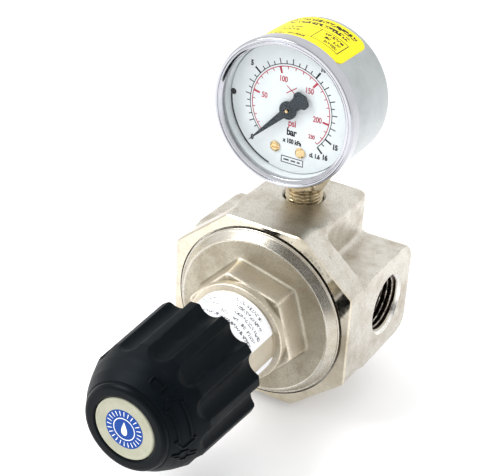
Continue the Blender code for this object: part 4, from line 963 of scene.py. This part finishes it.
# A thin sheet wrapped on a cylinder, its corners rounded. Its UV map holds millimetres over 100.
def wrappedSheet(name, s):
    length = math.radians(s["end"] - s["start"]) * s["radius"]
    corner = s["corner"]
    bend = corner * (1 - np.cos(np.linspace(0, math.pi / 2, 9)))
    along = np.concatenate([bend, np.arange(corner + 0.6, length - corner - 0.3, 0.6),
        (length - bend)[::-1]])
    gap = np.clip(corner - np.minimum(along, length - along), 0, corner)
    inset = corner - np.sqrt(corner ** 2 - gap ** 2)
    reach = np.sign(s["far"] - s["near"])
    across = np.linspace(0, 1, 24)
    near, far = s["near"] + reach * inset, s["far"] - reach * inset
    station = near[:, None] + (far - near)[:, None] * across[None, :]
    angle = math.radians(s["start"]) + along / s["radius"]
    outer = aroundAxis(s["radius"] + s["thick"], angle[:, None], station, s["centre"])
    inner = aroundAxis(s["radius"], angle[:, None], station, s["centre"])
    rows, columns = station.shape
    index = np.arange(rows * columns).reshape(rows, columns)
    top = np.stack([index[:-1, :-1], index[1:, :-1], index[1:, 1:], index[:-1, 1:]], -1).reshape(-1, 4)
    bottom = (top + rows * columns)[:, ::-1]
    border = np.concatenate([index[0, :], index[1:, -1], index[-1, -2::-1], index[-2:0:-1, 0]])
    borderBelow = border + rows * columns
    rim = np.stack([border, np.roll(border, -1), np.roll(borderBelow, -1), borderBelow], -1)
    points = np.concatenate([outer.reshape(-1, 3), inner.reshape(-1, 3)])
    mesh = makeMesh(name, points, np.concatenate([top, bottom, rim]))
    flat = np.stack([np.repeat(along, columns), np.abs(station - s["near"]).ravel()], -1) / 100
    flat = np.concatenate([flat, flat])
    corners = np.zeros(len(mesh.loops), np.int32)
    mesh.loops.foreach_get("vertex_index", corners)
    layer = mesh.uv_layers.new(name="sheet")
    layer.data.foreach_set("uv", flat[corners].astype(np.float32).ravel())
    return mesh


# Printed paper or film. Type is rows of cells, each cut into strokes, that white noise fills or leaves out;
# it is coarser than real type so that it shows. A box is the line where the larger overhang past its middle
# is near 0.
def printedSheet(s):
    material, tree, shader, coords = startMaterial(s["finish"])
    flat = addNode(tree, "UVMap", uv_map="sheet").outputs["UV"]
    parts = addNode(tree, "SeparateXYZ", {"Vector": flat})
    u, v = (calc(tree, "MULTIPLY", parts.outputs[k], 100.0) for k in (0, 1))
    total = None
    for index, (place, height, start, end) in enumerate(s["rows"]):
        fromRow = calc(tree, "SUBTRACT", v, place)
        wholes = []
        for value, size in ((fromRow, height / 4), (u, 0.8 * height), (u, 0.8 * height / 3)):
            share = calc(tree, "DIVIDE", value, size)
            wholes.append(calc(tree, "FLOOR", share))
        level, letter, stroke = wholes
        dots = addNode(tree, "CombineXYZ", {0: stroke, 1: level, 2: index + 0.5})
        letters = addNode(tree, "CombineXYZ", {0: letter, 1: index + 0.5})
        noises = [addNode(tree, "TexWhiteNoise", {"Vector": cells.outputs[0]}).outputs["Value"]
            for cells in (dots, letters)]
        tests = ((noises[0], "GREATER_THAN", s["weight"]), (noises[1], "GREATER_THAN",
            printDetail["blank"]), (fromRow, "GREATER_THAN", 0.0), (fromRow, "LESS_THAN", height),
            (u, "GREATER_THAN", start), (u, "LESS_THAN", end))
        row = 1.0
        for value, test, limit in tests:
            row = calc(tree, "MULTIPLY", row, calc(tree, test, value, limit))
        total = row if total is None else calc(tree, "MAXIMUM", total, row)
    for u0, v0, u1, v1 in s["boxes"]:
        overhangs = []
        for value, middle, half in ((u, (u0 + u1) / 2, (u1 - u0) / 2), (v, (v0 + v1) / 2, (v1 - v0) / 2)):
            away = calc(tree, "SUBTRACT", value, middle)
            away = calc(tree, "ABSOLUTE", away)
            overhangs.append(calc(tree, "SUBTRACT", away, half))
        edge = calc(tree, "MAXIMUM", overhangs[0], overhangs[1])
        line = calc(tree, "ABSOLUTE", edge)
        line = calc(tree, "LESS_THAN", line, printDetail["lineHalf"])
        total = calc(tree, "MAXIMUM", total, line)
    fibre = addNode(tree, "TexNoise", {"Vector": coords, "Scale": 1 / (printDetail["fibre"] * mm),
        "Detail": 4.0})
    cloud = addNode(tree, "MapRange", {"Value": fibre.outputs["Fac"], "From Min": 0.3,
        "From Max": 0.7}).outputs["Result"]
    sheet = addNode(tree, "Mix", {"Factor": cloud, "A": linear(s["paper"][0]), "B": linear(s["paper"][1])},
        data_type="RGBA")
    printed = addNode(tree, "Mix", {"Factor": total, "A": sheet.outputs[2], "B": linear(s["ink"])},
        data_type="RGBA")
    bump = addNode(tree, "Bump", {"Height": fibre.outputs["Fac"],
        "Distance": printDetail["fibreDepth"] * mm})
    shader.inputs["Roughness"].default_value = printDetail["roughness"]
    shader.inputs["Specular IOR Level"].default_value = printDetail["specular"]
    link(tree, printed.outputs[2], shader, "Base Color")
    link(tree, bump.outputs["Normal"], shader, "Normal")
    return material


print("labels")
for name, sheet in labelSheets.items():
    finish[sheet["finish"]] = printedSheet(sheet)
    showPiece(name, wrappedSheet(name, sheet), sheet["finish"], "valve")


# The nodes that keep their shape, by finish.
keptFinishes = {
    "clearAcrylic": "gauge_window",
    "blastedNickel": "gauge_port_plug",
    "turnedBrass": "adjusting_spindle spring_nut seat_insert slip_ring diaphragm_washer valve_stem poppet "
                   "sector_gear tube_tip movement_plate_rear movement_plate_front movement_pillar_upper "
                   "movement_pillar_lower pinion_arbor",
    "drawnBronze": "bourdon_tube",
    "springSteel": "hairspring control_spring poppet_spring spindle_clip",
    "satinSteel": "strainer diaphragm_plate stem_nut poppet_nut knob_screw tip_link",
    "sealRubber": "diaphragm poppet_disc seat_insert_seal gauge_seal gauge_plug_seal",
}
for name, nodes in keptFinishes.items():
    for node in nodes.split():
        slots = frame["nodes"][node].data.materials
        slots.clear()
        slots.append(finish[name])


studio = {
    "floorColour": "#F7F7F8", "worldColour": "#FFFFFF", "worldStrength": 1.14, "darkColour": "#4A4C50",
    "seamAcross": (-0.168, -0.965, -0.201), "seamOffset": 0.073, "seamHalf": 0.13, "seamFade": 0.27,
    "seamTowards": (0.55, -0.45, 0.70), "seamEnd": 0.2, "seamFull": 0.85,
    "cameraPlace": (171.0, -294.3, 264.7), "cameraRight": (0.8556, 0.5157, 0.0448),
    "cameraUp": (-0.2881, 0.4025, 0.8689), "lens": 88.92, "sensor": 36.0,
    "keyPlace": (-420.0, -260.0, 620.0), "keyTarget": (0.0, 0.0, 60.0), "keySize": 420.0, "keyPower": 4.8,
    "floorHalf": 3000.0, "floorRoughness": 0.6, "floorGlow": 0.13,
}


# The floor: a square board at height 0, kept white by a little light of its own.
def makeStage():
    side = studio["floorHalf"] * mm
    mesh = bpy.data.meshes.new("floor")
    corners = [(-side, -side, 0), (side, -side, 0), (side, side, 0), (-side, side, 0)]
    mesh.from_pydata(corners, [], [(0, 1, 2, 3)])
    floor = bpy.data.objects.new("floor", mesh)
    bpy.context.scene.collection.objects.link(floor)
    material, tree, shader, coords = startMaterial("paintedBoard")
    shader.inputs["Base Color"].default_value = linear(studio["floorColour"])
    shader.inputs["Roughness"].default_value = studio["floorRoughness"]
    shader.inputs["Emission Color"].default_value = linear(studio["floorColour"])
    shader.inputs["Emission Strength"].default_value = studio["floorGlow"]
    mesh.materials.append(material)


# A white tent with one dark seam, over the top to the right. Only mirrored light sees it.
def makeWorld():
    world = bpy.data.worlds.new("tent")
    bpy.context.scene.world = world
    world.use_nodes = True
    tree = world.node_tree
    direction = addNode(tree, "TexCoord").outputs["Generated"]
    across, towards = (addNode(tree, "VectorMath", {0: direction, 1: studio[name]},
        operation="DOT_PRODUCT").outputs["Value"] for name in ("seamAcross", "seamTowards"))
    away = calc(tree, "SUBTRACT", across, studio["seamOffset"])
    away = calc(tree, "ABSOLUTE", away)
    width = addNode(tree, "MapRange", {"Value": away, "From Min": studio["seamFade"],
        "From Max": studio["seamHalf"]}, interpolation_type="SMOOTHSTEP")
    length = addNode(tree, "MapRange", {"Value": towards, "From Min": studio["seamEnd"],
        "From Max": studio["seamFull"]}, interpolation_type="SMOOTHSTEP")
    mirrored = addNode(tree, "LightPath").outputs["Is Glossy Ray"]
    seam = calc(tree, "MULTIPLY", width.outputs["Result"], length.outputs["Result"])
    seen = calc(tree, "MULTIPLY", seam, mirrored)
    colour = addNode(tree, "Mix", {"Factor": seen, "A": linear(studio["worldColour"]),
        "B": linear(studio["darkColour"])}, data_type="RGBA")
    background = tree.nodes["Background"]
    background.inputs["Strength"].default_value = studio["worldStrength"]
    link(tree, colour.outputs[2], background, "Color")


# A square lamp aimed at a point above the middle of the floor.
def areaLight(name, place, size, power):
    light = bpy.data.lights.new(name, "AREA")
    light.size = size * mm
    light.energy = power
    lamp = bpy.data.objects.new(name, light)
    bpy.context.scene.collection.objects.link(lamp)
    lamp.location = Vector(place) * mm
    aim = Vector(studio["keyTarget"]) * mm - lamp.location
    lamp.rotation_euler = aim.to_track_quat("-Z", "Y").to_euler()


# The camera: cross products make its axes square to each other before it is set at its place.
def makeCamera():
    right = Vector(studio["cameraRight"]).normalized()
    up = Vector(studio["cameraUp"])
    back = right.cross(up).normalized()
    up = back.cross(right)
    camera = bpy.data.cameras.new("camera")
    camera.lens = studio["lens"]
    camera.sensor_width = studio["sensor"]
    camera.clip_start = 0.01
    holder = bpy.data.objects.new("camera", camera)
    bpy.context.scene.collection.objects.link(holder)
    turn = Matrix((right, up, back)).transposed().to_4x4()
    holder.matrix_world = Matrix.Translation(Vector(studio["cameraPlace"]) * mm) @ turn
    bpy.context.scene.camera = holder


print("stage")
makeStage()
makeWorld()
areaLight("key", studio["keyPlace"], studio["keySize"], studio["keyPower"])
makeCamera()
bpy.context.scene.view_settings.view_transform = "Standard"
